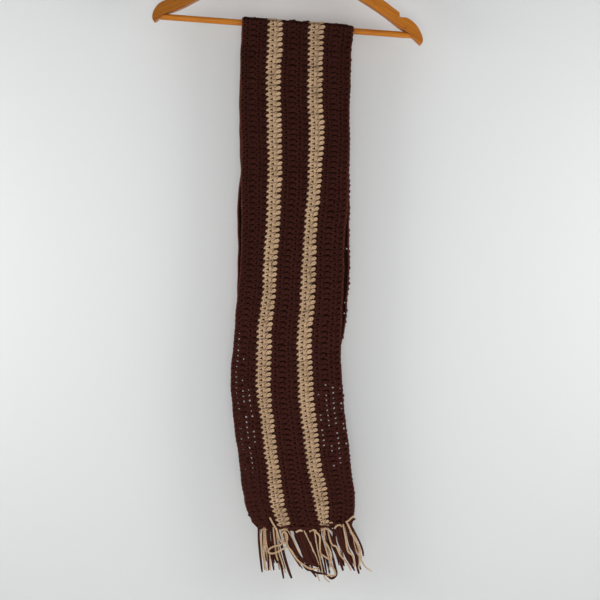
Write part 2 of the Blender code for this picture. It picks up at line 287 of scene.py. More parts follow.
def varnished_wood():
    """Warm brown wood under a thin satin varnish, each board as light as its own tone says."""
    made, tree, shader = new_finish(
        "varnished_wood", {"Specular IOR Level": 0.16, "Coat Weight": 0.05, "Coat Roughness": 0.3}
    )
    figure = tree.nodes.new("ShaderNodeGroup")
    figure.node_tree = BOARD
    tree.links.new(kept(tree, "grain", "Vector"), figure.inputs["Grain"])
    colour = ramp(tree, figure.outputs["Rings"], WOOD_RINGS)
    dark = ramp(tree, figure.outputs["Pores"], WOOD_PORES)
    toned = tree.nodes.new("ShaderNodeVectorMath")
    toned.operation = "SCALE"
    tree.links.new(blended(tree, 0.6, colour, dark, "MULTIPLY"), toned.inputs[0])
    tree.links.new(kept(tree, "tone"), toned.inputs["Scale"])
    tree.links.new(toned.outputs[0], shader.inputs["Base Color"])
    tree.links.new(spread(tree, figure.outputs["Rings"], 0.36, 0.52), shader.inputs["Roughness"])
    raised(tree, shader, figure.outputs["Pores"], 0.12, 0.2 * MM)
    return made


WOOD = varnished_wood()
for name, side, tone in (("hanger_arm_right", 1, 1.0), ("hanger_arm_left", -1, 0.74)):
    piece = arm(name + "_wood", side, tone)
    piece.data.materials.append(WOOD)
    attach(piece, "root")
    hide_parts(name)

# ---------------------------------------------------------------------------------------------
# The bottom bar: a straight turned dowel of the same wood, let into both arms.

BAR_R = 5.0 * MM
BAR_LIFT = 0.9 * MM
BAR_LEFT = 209.5 * MM
BAR_RIGHT = 204.7 * MM
BAR_EASE = 0.8 * MM  # the edges of its ends are eased off by this much
BAR_TONE = 1.08  # it is a little lighter than the arms


def closed(name, points, faces):
    """A closed piece, with all its faces turned outwards."""
    mesh = bpy.data.meshes.new(name)
    mesh.from_pydata(points, [], faces)
    shape = bmesh.new()
    shape.from_mesh(mesh)
    bmesh.ops.recalc_face_normals(shape, faces=shape.faces)
    shape.to_mesh(mesh)
    shape.free()
    return linked(name, mesh)


def rod(name, path, radius, sides):
    """A round rod along a path in the hanger's plane: places, each with a share of the radius."""
    points = []
    faces = []
    for k, (x, z, share) in enumerate(path):
        before = path[max(k - 1, 0)]
        after = path[min(k + 1, len(path) - 1)]
        along = np.array([after[0] - before[0], after[1] - before[1]])
        along /= np.linalg.norm(along)
        for i in range(sides):
            turn = 2 * pi * i / sides
            out = radius * share * cos(turn)
            points.append(hung(x - along[1] * out, radius * share * sin(turn), z + along[0] * out))
    for k in range(len(path) - 1):
        for i in range(sides):
            j = (i + 1) % sides
            faces.append((k * sides + i, (k + 1) * sides + i, (k + 1) * sides + j, k * sides + j))
    faces.append(tuple(range(sides)))
    faces.append(tuple(range((len(path) - 1) * sides, len(path) * sides))[::-1])
    made = closed(name, points, faces)
    made.data.set_sharp_from_angle(angle=CORNER)
    return made


bar_path = [(-BAR_LEFT, BAR_LIFT, 0.85), (-BAR_LEFT + BAR_EASE, BAR_LIFT, 1.0)]
bar_path += [(x * MM, BAR_LIFT, 1.0) for x in range(-190, 200, 20)]
bar_path += [(BAR_RIGHT - BAR_EASE, BAR_LIFT, 1.0), (BAR_RIGHT, BAR_LIFT, 0.85)]
bar = rod("hanger_bar_wood", bar_path, BAR_R, 32)
bar.data.materials.append(WOOD)
keep_grain(bar.data, (cos(TILT), 0, -sin(TILT)), (sin(TILT), 0, cos(TILT)), BAR_TONE)
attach(bar, "root")
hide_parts("hanger_bar")

# A thin dark sliver along each arm where the bar goes in is painted shadow, standing for the shade in the gap
# between arm and bar, and the right arm has a short scratch.
# Each is half its thickness and its places in millimetres: from the bar's middle, back from the bar's
# axis and up from it.
MARKS = [
    (0.60, [
        (183.0, -4.2, 9.0), (188.0, -4.6, 7.2), (191.5, -5.0, 5.5), (195.5, -5.5, 3.3), (200.0, -5.8, 0.8),
    ]),
    (0.45, [
        (-207.0, -5.6, 0.8), (-203.5, -5.6, 3.0), (-199.0, -5.0, 5.2), (-194.0, -4.4, 7.6),
        (-187.0, -4.0, 10.3),
    ]),
    (0.42, [(189.0, -6.95, 9.4), (191.4, -7.0, 11.2), (194.2, -6.95, 13.0)]),
]


def on_piece(tree):
    """The place on the piece."""
    return tree.nodes.new("ShaderNodeTexCoord").outputs["Object"]


def mark(name, radius, places):
    """A fine closed sliver along a few places, thinning to nothing at both ends."""
    run = [np.array(hung(*(v * MM for v in p))) for p in flowing(places, 4)]
    points = [run[0]]
    for k in range(1, len(run) - 1):
        thick = radius * MM * sin(pi * k / (len(run) - 1)) ** 0.5
        up = np.cross(run[k + 1] - run[k - 1], (0, 1, 0))
        up *= thick / np.linalg.norm(up)
        back = np.array([0, thick, 0])
        points += [run[k] + up, run[k] - back, run[k] - up, run[k] + back]
    points.append(run[-1])
    faces = []
    rings = len(run) - 2
    for i in range(4):
        j = (i + 1) % 4
        faces.append((0, 1 + j, 1 + i))
        faces.append((len(points) - 1, 1 + (rings - 1) * 4 + i, 1 + (rings - 1) * 4 + j))
        for k in range(rings - 1):
            faces.append((1 + k * 4 + i, 1 + k * 4 + j, 1 + k * 4 + 4 + j, 1 + k * 4 + 4 + i))
    return closed(name, [tuple(p) for p in points], faces)


# The slivers along the joints are painted shadow; the scratch is the wood's own mark.
shadow_and_scratch, tree, shader = new_finish("dark_joint", {"Roughness": 0.8})
mark_speckle = noise(tree, on_piece(tree), 800.0)
shadow_and_scratch_tones = ramp(tree, mark_speckle, [(0.3, (0.020, 0.007, 0.002)), (0.7, (0.060, 0.020, 0.005))])
tree.links.new(shadow_and_scratch_tones, shader.inputs["Base Color"])
for number, (radius, places) in enumerate(MARKS):
    sliver = mark(f"hanger_mark_{number + 1}", radius, places)
    sliver.data.materials.append(shadow_and_scratch)
    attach(sliver, "root")

# ---------------------------------------------------------------------------------------------
# The hook: one length of plain steel wire, set in the neck between the arms and bent round.

WIRE_R = 1.75 * MM
HOOK_R = 20.0 * MM  # inside its bend
HOOK_START = -60.0  # where round its middle the bend starts, in degrees, and how far it goes
HOOK_TURN = 255.0
HOOK_STEPS = 32
STEM = [(0.0, 94.3), (0.0, 112.0), (0.0, 126.0), (0.0, 138.0), (1.2, 143.7), (5.5, 147.8)]  # mm from the bar

wire = [(x * MM, z * MM) for x, z in STEM]
hook_mid = BAR_DROP - HOOK_R
for step in range(HOOK_STEPS + 1):
    turn = radians(HOOK_START + step * HOOK_TURN / HOOK_STEPS)
    wire.append(((HOOK_R + WIRE_R) * cos(turn), hook_mid + (HOOK_R + WIRE_R) * sin(turn)))
wire = [(float(x), float(z), 1.0) for x, z in flowing(wire, 3)]
wire[-1] = (*wire[-1][:2], 0.6)
hook = rod("hanger_hook_wire", wire, WIRE_R, 16)

STEEL, tree, shader = new_finish("hook_steel", {"Metallic": 1.0})
drawn = noise(tree, on_piece(tree), 900.0, 3.0)
metal = ramp(tree, drawn, [(0.3, (0.50, 0.50, 0.49)), (0.7, (0.66, 0.66, 0.65))])
tree.links.new(metal, shader.inputs["Base Color"])
tree.links.new(spread(tree, drawn, 0.16, 0.34), shader.inputs["Roughness"])
hook.data.materials.append(STEEL)
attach(hook, "root")
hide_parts("hanger_hook")

# ---------------------------------------------------------------------------------------------
# The scarf's ground: the soft inner web of the worked cloth that the stitches stand on, with an
# open eye between every two stitches of a row. One cloth, 16 rows wide, laid over the bar so
# that both halves hang; the back half's edges roll away from the viewer.

WALL = 3.5 * MM
SEAM = 0.3 * MM
OVER_BAR = BAR_R + SEAM + WALL / 2
WIDTH = 181.5 * MM

# Front fall in millimetres: how far below the hang point, the two edges, the edges of the tan
# bands between them, how far the cloth stands in front of the bar's axis, and how its edges bow back.
Front = namedtuple("Front", "drop left tan_a tan_b tan_c tan_d right depth bow")
FRONT = [
    Front(180.0, -88.8, -48.1, -22.0, 18.7, 46.5, 92.7, 7.0, 0.0),
    Front(245.0, -91.3, -50.7, -24.9, 16.5, 42.2, 88.8, 6.2, 0.5),
    Front(310.0, -92.1, -51.3, -26.4, 16.5, 42.2, 86.4, 5.4, 1.5),
    Front(376.0, -90.5, -49.0, -24.1, 18.1, 44.5, 85.6, 4.8, 2.5),
    Front(482.0, -90.5, -50.2, -25.6, 14.2, 36.7, 83.1, 5.0, 3.0),
    Front(555.0, -90.0, -54.6, -30.3, 7.8, 31.3, 77.4, 5.6, 2.5),
    Front(620.0, -95.4, -57.7, -34.2, 4.7, 31.3, 76.3, 6.0, 2.0),
    Front(694.0, -101.9, -66.2, -40.4, -0.8, 25.1, 72.5, 5.4, 1.5),
    Front(775.0, -107.6, -67.6, -42.1, 0.2, 26.6, 74.2, 4.6, 1.5),
    Front(832.0, -102.7, -60.8, -38.1, 5.5, 32.1, 79.9, 4.6, 2.0),
    Front(897.0, -94.5, -52.2, -30.3, 14.2, 39.1, 87.2, 5.2, 2.0),
    Front(962.0, -84.8, -45.1, -21.0, 25.1, 51.5, 94.5, 5.4, 1.0),
    Front(1008.0, -70.0, -31.5, -10.1, 37.5, 53.5, 91.5, 4.8, 0.0),
]

# Back fall: the middle, the width along the cloth, how far the left and right edges roll away
# (degrees turned by the outer 60 mm) and the depth behind the bar's axis.
Back = namedtuple("Back", "drop middle width roll_left roll_right depth")
BACK = [
    Back(180.0, 1.9, 181.5, 0.0, 0.0, 7.0),
    Back(245.0, -1.6, 180.0, 0.0, 0.0, 6.2),
    Back(343.0, -3.7, 180.8, 0.0, 0.0, 5.0),
    Back(425.0, -2.6, 178.5, 0.0, 0.0, 4.4),
    Back(465.0, -4.9, 182.5, 0.0, 0.0, 4.4),
    Back(596.0, -5.2, 182.5, 0.0, 0.0, 4.6),
    Back(653.0, -8.1, 181.5, 18.0, 10.0, 4.6),
    Back(710.0, -10.6, 181.5, 66.0, 50.0, 4.4),
    Back(750.0, -14.7, 181.5, 94.0, 90.0, 4.2),
    Back(791.0, -19.6, 181.5, 130.0, 158.0, 4.2),
    Back(864.0, -17.1, 181.5, 172.0, 172.0, 4.4),
    Back(915.0, -7.3, 181.5, 115.0, 105.0, 4.8),
    Back(962.0, 2.5, 181.0, 22.0, 18.0, 5.2),
    Back(1008.0, 11.0, 164.0, 0.0, 0.0, 4.8),
]
ROLLED = 60 * MM
FLAT_TURN = 0.05  # the turn of an edge that doesn't roll, in degrees

# The hems: how far down each end of the cloth reaches, from its left corner to its right one.
Hem = namedtuple("Hem", "across front back")
HEM = [
    Hem(0.0, 998.0, 989.0),
    Hem(0.05, 1008.0, 1000.0),
    Hem(0.1, 1011.5, 1004.0),
    Hem(0.2, 1012.5, 1008.0),
    Hem(0.5, 1013.0, 1010.0),
    Hem(0.8, 1007.0, 1006.0),
    Hem(1.0, 1000.0, 998.0),
]
BAND_EDGES = [0.0, 0.22, 0.362, 0.6, 0.742, 1.0]
FRONT_KEYS = ["left", "tan_a", "tan_b", "tan_c", "tan_d", "right"]
NEAR_BAR = 0.04  # the cloth lies against the bar and comes away from it over this share of a fall
CURVE_STEPS = 1200
CURVES = {}  # the columns already worked out


def column_at(table, key, at):
    """A column of a section table as a smooth curve over its first column."""
    if (id(table), key) not in CURVES:
        xs = np.array([row[0] for row in table])
        ys = np.array([getattr(row, key) for row in table])
        slopes = np.empty(len(xs))
        slopes[1:-1] = (ys[2:] - ys[:-2]) / (xs[2:] - xs[:-2])
        slopes[0] = (ys[1] - ys[0]) / (xs[1] - xs[0])
        slopes[-1] = (ys[-1] - ys[-2]) / (xs[-1] - xs[-2])
        fine = np.linspace(xs[0], xs[-1], CURVE_STEPS + 1)
        i = np.clip(np.searchsorted(xs, fine, side="right") - 1, 0, len(xs) - 2)
        wide = xs[i + 1] - xs[i]
        t = (fine - xs[i]) / wide
        curve = (
            ys[i] * (1 + 2 * t) * (1 - t) ** 2
            + ys[i + 1] * t * t * (3 - 2 * t)
            + wide * (slopes[i] * t * (1 - t) ** 2 - slopes[i + 1] * t * t * (1 - t))
        )
        CURVES[(id(table), key)] = (fine, curve)
    return np.interp(at, *CURVES[(id(table), key)])


def bar_height(across):
    """How high the bar's axis is at a share of the cloth's width."""
    x = FRONT[0].left * MM + WIDTH * across
    drop = BAR_DROP - BAR_LIFT
    return -drop * cos(TILT) - (x + drop * sin(TILT)) * np.tan(TILT)


def front_point(across, z):
    """The middle of the front fall at a share of its width and a height."""
    drop = -z / MM
    at = np.stack([column_at(FRONT, key, drop) for key in FRONT_KEYS])
    band = np.clip(np.searchsorted(BAND_EDGES, across, side="right") - 1, 0, len(BAND_EDGES) - 2)
    low = np.array(BAND_EDGES)[band]
    high = np.array(BAND_EDGES)[band + 1]
    pick = np.arange(len(across))
    x = at[band, pick] + (at[band + 1, pick] - at[band, pick]) * (across - low) / (high - low)
    y = column_at(FRONT, "bow", drop) * (2 * across - 1) ** 2 - column_at(FRONT, "depth", drop)
    return np.stack([x, y, z / MM], axis=1) * MM


def back_point(across, z):
    """The middle of the back fall there, its edges rolled away from the viewer."""
    drop = -z / MM
    width = column_at(BACK, "width", drop) * MM
    out = (across - 0.5) * width
    side = np.where(out < 0, -1.0, 1.0)
    turn = np.where(out < 0, column_at(BACK, "roll_left", drop), column_at(BACK, "roll_right", drop))
    turn = np.radians(np.maximum(turn, FLAT_TURN))
    flat = width / 2 - ROLLED
    over = np.maximum(np.abs(out) - flat, 0.0)
    bend = ROLLED / turn
    swept = over / bend
    x = np.where(over > 0, flat + bend * np.sin(swept), np.abs(out))
    y = column_at(BACK, "depth", drop) * MM + bend * (1 - np.cos(swept))
    return np.stack([column_at(BACK, "middle", drop) * MM + side * x, y, z], axis=1)


def fall_point(face, across, down):
    """The middle of the cloth from the bar (down 0) to the hem (down 1)."""
    top = bar_height(across)
    z = top + (-column_at(HEM, face, across) * MM - top) * down
    made = front_point(across, z) if face == "front" else back_point(across, z)
    near = np.maximum(1.0 - down / NEAR_BAR, 0.0)
    made[:, 1] += near * ((-OVER_BAR if face == "front" else OVER_BAR) - made[:, 1])
    return made


FRONT_FALL = 95.5  # stitches from the front hem to the bar
OVER = 2.5  # stitches that lie over the bar
BACK_FALL = 95.0
ROUND = int(FRONT_FALL + OVER + BACK_FALL)  # stitches in a row, from hem to hem
TURNS_AT = FRONT_FALL + OVER / 2  # the top of the fold

# How long a stitch hangs at shares of the way from the bar to a hem, in millimetres: the cloth's
# own weight draws the middle out, and the last stitches before the fringe are worked tighter.
PITCH_AT = [0.0, 0.24, 0.34, 0.43, 0.53, 0.63, 0.73, 0.83, 0.93, 1.0]
PITCH = [8.6, 8.65, 9.1, 9.1, 8.95, 9.05, 8.45, 8.25, 7.6, 7.4]
WAY = np.linspace(0.0, 1.0, 501)
COUNTED = np.concatenate([[0.0], np.cumsum(1.0 / np.interp(WAY[1:], PITCH_AT, PITCH))])
COUNTED /= COUNTED[-1]
HEM_PITCH = 0.87  # the pitch beyond the hem, as a share of the fall's mean one

# Soft ridges and troughs: on which fall, where their middle lies across and down it, how far they
# reach across (mm) and down (mm), how much they lean and how far they stand out (mm).
Crease = namedtuple("Crease", "face across down wide long lean out")
CREASES = [
    Crease("front", 0.10, 0.20, 12.0, 150.0, -0.02, 1.1),
    Crease("front", 0.30, 0.33, 16.0, 120.0, 0.05, -0.9),
    Crease("front", 0.52, 0.12, 14.0, 90.0, -0.08, 0.8),
    Crease("front", 0.90, 0.27, 13.0, 170.0, 0.03, 1.3),
    Crease("front", 0.66, 0.45, 18.0, 130.0, -0.06, -1.0),
    Crease("front", 0.12, 0.58, 15.0, 110.0, 0.07, 1.4),
    Crease("front", 0.45, 0.66, 20.0, 150.0, 0.10, 1.2),
    Crease("front", 0.84, 0.70, 14.0, 95.0, -0.05, -1.3),
    Crease("front", 0.24, 0.84, 17.0, 100.0, -0.12, -1.1),
    Crease("front", 0.72, 0.90, 15.0, 70.0, -0.10, 1.2),
    Crease("back", 0.20, 0.22, 14.0, 140.0, 0.04, 1.2),
    Crease("back", 0.62, 0.16, 17.0, 110.0, -0.05, -0.9),
    Crease("back", 0.40, 0.42, 19.0, 160.0, -0.04, 1.3),
    Crease("back", 0.85, 0.48, 13.0, 120.0, 0.06, 1.0),
    Crease("back", 0.50, 0.72, 18.0, 130.0, 0.08, -1.2),
    Crease("back", 0.30, 0.90, 15.0, 80.0, -0.09, 1.1),
]
CREASE_WIDTH = 181.0  # the width and the length of a fall that they are laid out on (mm)
CREASE_LENGTH = 820.0

# A hand-worked cloth is never quite even: it wanders sideways and in and out in waves. Each is how
# far it goes (mm) and how fast it turns, per stitch and across the width.
SIDEWAYS = [(0.5, 0.55, 5.0), (0.3, 1.31, 11.0)]
IN_AND_OUT = [(0.5, 0.21, 9.0), (0.3, 0.47, -17.0)]
SAG = 3.2 * MM  # how far the right corner sags where it leaves the bar


def down_at(share):
    """How far down a fall a share of its stitches, counted from the bar, has come."""
    inside = np.clip(share, 0.0, 1.0)
    return np.interp(inside, COUNTED, WAY) + (share - inside) * HEM_PITCH


def creased(face, across, down):
    """How far the creases push the cloth out at a place on a fall."""
    out = np.zeros(np.shape(across))
    for crease in CREASES:
        if crease.face == face:
            fall = (down - crease.down) * CREASE_LENGTH
            side = (across - crease.across) * CREASE_WIDTH - crease.lean * fall
            out += crease.out * np.exp(-(side / crease.wide) ** 2 - (fall / crease.long) ** 2)
    return out * MM


def waves(kinds, across, along):
    return MM * sum(far * np.sin(along * fast + across * lag) for far, fast, lag in kinds)


def cloth_point(across, along):
    """The middle of the cloth at a share of its width, along stitches from the front hem."""
    across, along = (np.array(v, dtype=float) for v in np.broadcast_arrays(across, along))
    down = down_at(1 - np.clip(along, -2, FRONT_FALL) / FRONT_FALL)
    ahead = fall_point("front", across, down)
    ahead[:, 1] -= creased("front", across, down)
    down = down_at(np.clip(along - FRONT_FALL - OVER, 0, BACK_FALL + 2) / BACK_FALL)
    behind = fall_point("back", across, down)
    behind[:, 1] += creased("back", across, down)
    turn = np.clip((along - FRONT_FALL) / OVER, 0, 1)
    over = ahead + (behind - ahead) * turn[:, None]
    over[:, 1] = -OVER_BAR * np.cos(turn * pi)
    over[:, 2] += OVER_BAR * np.sin(turn * pi)
    made = np.where((turn <= 0)[:, None], ahead, np.where((turn >= 1)[:, None], behind, over))
    hangs = np.clip(np.abs(along - TURNS_AT) / 12 - 0.3, 0, 1)
    made[:, 0] += waves(SIDEWAYS, across, along)
    made[:, 1] += hangs * waves(IN_AND_OUT, across, along)
    corner = np.clip((across - 0.93) / 0.07, 0, 1) ** 1.5
    made[:, 2] -= SAG * corner * np.exp(-(((along - TURNS_AT) / 3.0) ** 2))
    return made


NEXT_ACROSS = 0.004  # how far to each side the cloth's slope is felt, as a share of its width
NEXT_ALONG = 0.15  # and in stitches


def cloth_frame(across, along):
    """Where the cloth is, which way its width and its outer side point, and a stitch's length there."""
    here = cloth_point(across, along)
    wide = cloth_point(across + NEXT_ACROSS, along) - cloth_point(across - NEXT_ACROSS, along)
    long = cloth_point(across, along + NEXT_ALONG) - cloth_point(across, along - NEXT_ALONG)
    outer = np.cross(wide, long)
    outer /= np.linalg.norm(outer, axis=1)[:, None]
    return here, wide / (2 * NEXT_ACROSS), outer, np.linalg.norm(long, axis=1) / (2 * NEXT_ALONG)


# The rows: where each band's first row begins and its last one ends, as shares of the width.
Band = namedtuple("Band", "name start end rows yarn")
BANDS = [
    Band("panel_left", 0.0100, 0.2275, 4, "brown_yarn"),
    Band("stripe_left", 0.2275, 0.3545, 2, "tan_yarn"),
    Band("panel_middle", 0.3545, 0.6075, 4, "brown_yarn"),
    Band("stripe_right", 0.6075, 0.7345, 2, "tan_yarn"),
    Band("panel_right", 0.7345, 0.9930, 4, "brown_yarn"),
]
EYES = [(0.69, 0.87), (0.74, 0.90)]  # where the eyes of the two kinds of row lie in a row's width
EYE_SHIFTS = [-0.05, -0.32]  # and how far along, in stitches
EYE_ALONG = 0.115  # half an eye's length
EYE_GROWS = 0.005  # an open eye gets this much wider at each side for each size, as a share of the width
OPEN_EYE = (0.95, 1.5)  # the least and the greatest size of an open eye
SHUT_EYE = 1.1  # and the size of a shut one
ROW_SHIFT = 0.18  # every second row sits this much nearer the hem, in stitches

# Where the front is worked so loosely that its eyes stand open: the row, counted from the left
# edge, the drops below the hang point between which it does (mm) and the share of eyes it opens.
# On the back the share is the same for all rows, and smaller for those from EDGE_ROW on.
BACK_OPEN = 0.45
EDGE_ROW = 14
EDGE_OPEN = 0.1
BACK_FROM = 9  # the first open eyes are this many stitches past the fold
Loose = namedtuple("Loose", "row top low share")
LOOSE = [
    Loose(0, 655.0, 835.0, 1.0),
    Loose(0, 835.0, 940.0, 0.9),
    Loose(1, 695.0, 780.0, 0.35),
    Loose(1, 780.0, 935.0, 0.75),
    Loose(2, 775.0, 930.0, 0.6),
    Loose(3, 845.0, 890.0, 0.6),
    Loose(12, 775.0, 900.0, 0.6),
    Loose(13, 772.0, 910.0, 0.7),
    Loose(14, 748.0, 776.0, 0.3),
    Loose(14, 776.0, 905.0, 0.8),
    Loose(15, 765.0, 880.0, 0.5),
]


def open_eyes(places):
    """How wide the eyes of the rows at some places across the cloth stand open: 0 for a shut one."""
    hand = np.random.default_rng(seed=3)
    stitch = np.arange(ROUND) + 0.5
    open_by = np.zeros((len(places), ROUND))
    for row, place in enumerate(places):
        drop = -cloth_point(np.full(ROUND, place), stitch)[:, 2] / MM
        chance = np.where(stitch > TURNS_AT + BACK_FROM, EDGE_OPEN if row >= EDGE_ROW else BACK_OPEN, 0.0)
        for patch in LOOSE:
            if patch.row == row:
                chance[(stitch < TURNS_AT) & (drop > patch.top) & (drop < patch.low)] = patch.share
        open_by[row] = (hand.random(ROUND) < chance) * hand.uniform(*OPEN_EYE, ROUND)
    return open_by


FULLER = 1.0 * MM  # over the bar the web lies fuller, so that no light comes in under the stitches


def ground():
    """The web, drawn as three strips a row, the middle one of which holds the row's eyes."""
    cuts = []
    tan = []
    for band in BANDS:
        wide = (band.end - band.start) / band.rows
        for row in range(band.rows):
            left = band.start + wide * row
            eye = EYES[len(cuts) // 3 % 2]
            cuts += [left, left + wide * eye[0], left + wide * eye[1]]
            tan += [band.yarn == "tan_yarn"] * 3
    cuts.append(BANDS[-1].end)
    tan.append(False)
    steps = []
    for k in range(ROUND):
        steps += [k, k + 0.5 - EYE_ALONG, k + 0.5 + EYE_ALONG]
    steps.append(ROUND)
    across, along = np.meshgrid(np.array(cuts), np.array(steps), indexing="ij")
    open_by = open_eyes(cuts[1::3])
    for i in range(len(cuts)):
        if i % 3:
            side = 1 if i % 3 == 2 else -1
            along[i, 1:-1] += EYE_SHIFTS[i // 3 % 2]
            for way in (1, 2):
                grow = np.where(open_by[i // 3] > 0, open_by[i // 3], SHUT_EYE) - 1
                along[i, way:-1:3] += (2 * way - 3) * grow * EYE_ALONG
                across[i, way:-1:3] += side * grow * EYE_GROWS
    points, _, outer, _ = cloth_frame(across.ravel(), along.ravel())
    near = np.clip(2.0 - np.abs(along.ravel() - TURNS_AT) / 2.0, 0.0, 1.0)
    points += outer * FULLER * near[:, None]
    count = len(steps)
    faces = []
    eyes = []
    for i in range(len(cuts) - 1):
        for k in range(count - 1):
            eye = i % 3 == 1 and k % 3 == 1
            if eye and open_by[i // 3, k // 3] > 0:
                continue
            a = i * count + k
            faces.append((a, a + count, a + count + 1, a + 1))
            eyes.append(float(eye))
    mesh = bpy.data.meshes.new("scarf_ground")
    mesh.from_pydata(points.tolist(), [], faces)
    share = mesh.attributes.new("tan_share", "FLOAT", "POINT")
    share.data.foreach_set("value", np.repeat(np.array(tan, dtype=float), count))
    # The faces of the shut eyes are marked here, to be painted near black as painted shade.
    deep = mesh.attributes.new("deep", "FLOAT", "FACE")
    deep.data.foreach_set("value", eyes)
    return linked("scarf_ground", mesh)


ground_web = ground()

BROWN = (0.032, 0.0084, 0.0059)
BROWN_LIT = (0.061, 0.0172, 0.0122)
TAN = (0.27, 0.168, 0.090)
TAN_LIT = (0.90, 0.622, 0.392)
# the painted shade of a shut eye
EYE_SHADE = (0.008, 0.004, 0.003)
# the edge chain's yarn, painted lighter and redder as a painted highlight
EDGE_HIGHLIGHT_DEEP = (0.040, 0.0105, 0.0075)
EDGE_HIGHLIGHT_LIT = (0.155, 0.046, 0.033)


def darker(colour, share):
    return tuple(v * share for v in colour)


# The web is painted well darker than its yarn, and the tan web far darker: painted shade beneath the
# stitches.
web, tree, shader = new_finish("scarf_web", {"Roughness": 0.95, "Specular IOR Level": 0.05})
lint = noise(tree, on_piece(tree), 700.0, 3.0, 0.6)
brown_web_shade = ramp(tree, lint, [(0.3, darker(BROWN, 0.35)), (0.7, darker(BROWN, 0.7))])
tan_web_shade = ramp(tree, lint, [(0.3, darker(TAN, 0.12)), (0.7, darker(TAN, 0.34))])
either_web_shade = blended(tree, kept(tree, "tan_share"), brown_web_shade, tan_web_shade)
# Each shut eye is painted near black: painted shade in the hole.
with_eye_shade = blended(tree, kept(tree, "deep"), either_web_shade, (*EYE_SHADE, 1.0))
tree.links.new(with_eye_shade, shader.inputs["Base Color"])
raised(tree, shader, lint, 0.6, 0.8 * MM)
ground_web.data.materials.append(web)
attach(ground_web, "root")
for band in BANDS:
    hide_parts(band.name + "_front", band.name + "_over_bar", band.name + "_back")

# ---------------------------------------------------------------------------------------------
# The stitches, worked lengthwise in soft spun yarn about 3 mm thick. Rows are worked back and
# forth, so they take turns: one shows slanting tips, an eye and the chain along its top, the
# next shows slanting posts that end in rounded loops with a slit between them.

ROW = 11.35 * MM  # the width of the row and the length of the stitch that are drawn below
STITCH = 8.85 * MM


def spun(paths, sides):
    """Points, faces and yarn coordinates of strands, each path a list of x, y, z and radius."""
    points = []
    faces = []
    lay = []
    for path in paths:
        path = np.array(path, dtype=float)
        spots = path[:, :3]
        ahead = np.gradient(spots, axis=0)
        ahead /= np.linalg.norm(ahead, axis=1)[:, None]
        run = np.concatenate([[0.0], np.cumsum(np.linalg.norm(np.diff(spots, axis=0), axis=1))])
        side = np.cross(ahead[0], (0.13, 0.21, 0.97))
        side /= np.linalg.norm(side)
        base = len(points)
        for k in range(len(path)):
            side = side - ahead[k] * (side @ ahead[k])
            side /= np.linalg.norm(side)
            up = np.cross(ahead[k], side)
            for i in range(sides):
                turn = 2 * pi * i / sides
                points.append(spots[k] + path[k, 3] * (cos(turn) * side + sin(turn) * up))
        for k in range(len(path) - 1):
            for i in range(sides):
                j = (i + 1) % sides
                a = base + k * sides
                faces.append((a + i, a + j, a + sides + j, a + sides + i))
                near = i / sides
                far = (i + 1) / sides
                lay.append([(run[k], near), (run[k], far), (run[k + 1], far), (run[k + 1], near)])
        last = base + (len(path) - 1) * sides
        faces.append(tuple(range(base, base + sides))[::-1])
        lay.append([(run[0], 0.0)] * sides)
        faces.append(tuple(range(last, last + sides)))
        lay.append([(run[-1], 0.0)] * sides)
    return points, faces, lay


def strands(name, paths, sides):
    """A mesh object of yarn strands that knows how far along and around the yarn each point lies."""
    points, faces, lay = spun(paths, sides)
    mesh = bpy.data.meshes.new(name)
    mesh.from_pydata([tuple(p) for p in points], [], faces)
    layer = mesh.uv_layers.new(name="yarn")
    layer.data.foreach_set("uv", [v for face in lay for pair in face for v in pair])
    return linked(name, mesh)


def in_mm(rows):
    return [[v * MM for v in row] for row in rows]


# One stitch of each kind of row, in millimetres: across the row, along it towards the bar,
# out from the cloth, and the strand's radius there. The open stitch's eye is at 8.9 across.
OPEN_STITCH = [
    [
        (-0.2, -1.1, 0.6, 1.4), (2.8, -0.6, 1.5, 1.6), (6.4, 0.9, 1.6, 1.55), (9.4, 2.6, 1.3, 1.4),
        (12.2, 4.8, 0.4, 1.1),
    ],
    [(-0.2, -1.7, 0.5, 1.3), (2.8, -2.4, 1.4, 1.5), (7.2, -3.2, 1.4, 1.7), (11.6, -4.2, 0.4, 1.2)],
    [(3.8, -2.2, 0.1, 1.5), (5.2, 2.6, 0.5, 2.0), (5.4, 7.0, 0.1, 1.5)],
    [(12.2, 5.8, 0.6, 1.0), (11.8, 2.2, 1.8, 1.45), (11.8, -1.2, 1.9, 1.45), (12.4, -4.2, 0.9, 1.0)],
    [(13.6, 4.8, 0.6, 1.0), (14.2, 0.6, 1.8, 1.35), (13.0, -4.4, 0.8, 1.0)],
]
LOOP_STITCH = [
    [
        (3.4, -0.9, 0.3, 1.1), (5.6, 2.2, 1.5, 1.5), (8.4, 4.4, 2.1, 1.65), (11.2, 4.7, 2.0, 1.65),
        (13.0, 3.4, 0.9, 1.4),
    ],
    [(3.4, -0.9, 0.3, 1.1), (6.8, 0.8, 1.6, 1.5), (10.4, 1.4, 2.0, 1.65), (12.9, 2.6, 0.9, 1.4)],
    [(1.2, 2.8, 0.6, 1.2), (3.4, 4.8, 1.2, 1.4), (6.0, 6.9, 0.7, 1.2)],
]
CROWN = 2.2 * MM  # the crowns of the stitches stand about this high
STITCH_SIDES = 5  # a strand is this many faces round


def keep_depth(stitch):
    """Stores how far each point of a stitch lies below its crown: 0 at the top, 1 deep between strands, where
    the yarn gets painted shade.
    """
    place = np.empty(len(stitch.data.vertices) * 3)
    stitch.data.vertices.foreach_get("co", place)
    sunk = np.clip((CROWN - place[2::3]) / CROWN, 0.0, 1.0)
    stitch.data.attributes.new("sunk", "FLOAT", "POINT").data.foreach_set("value", sunk)


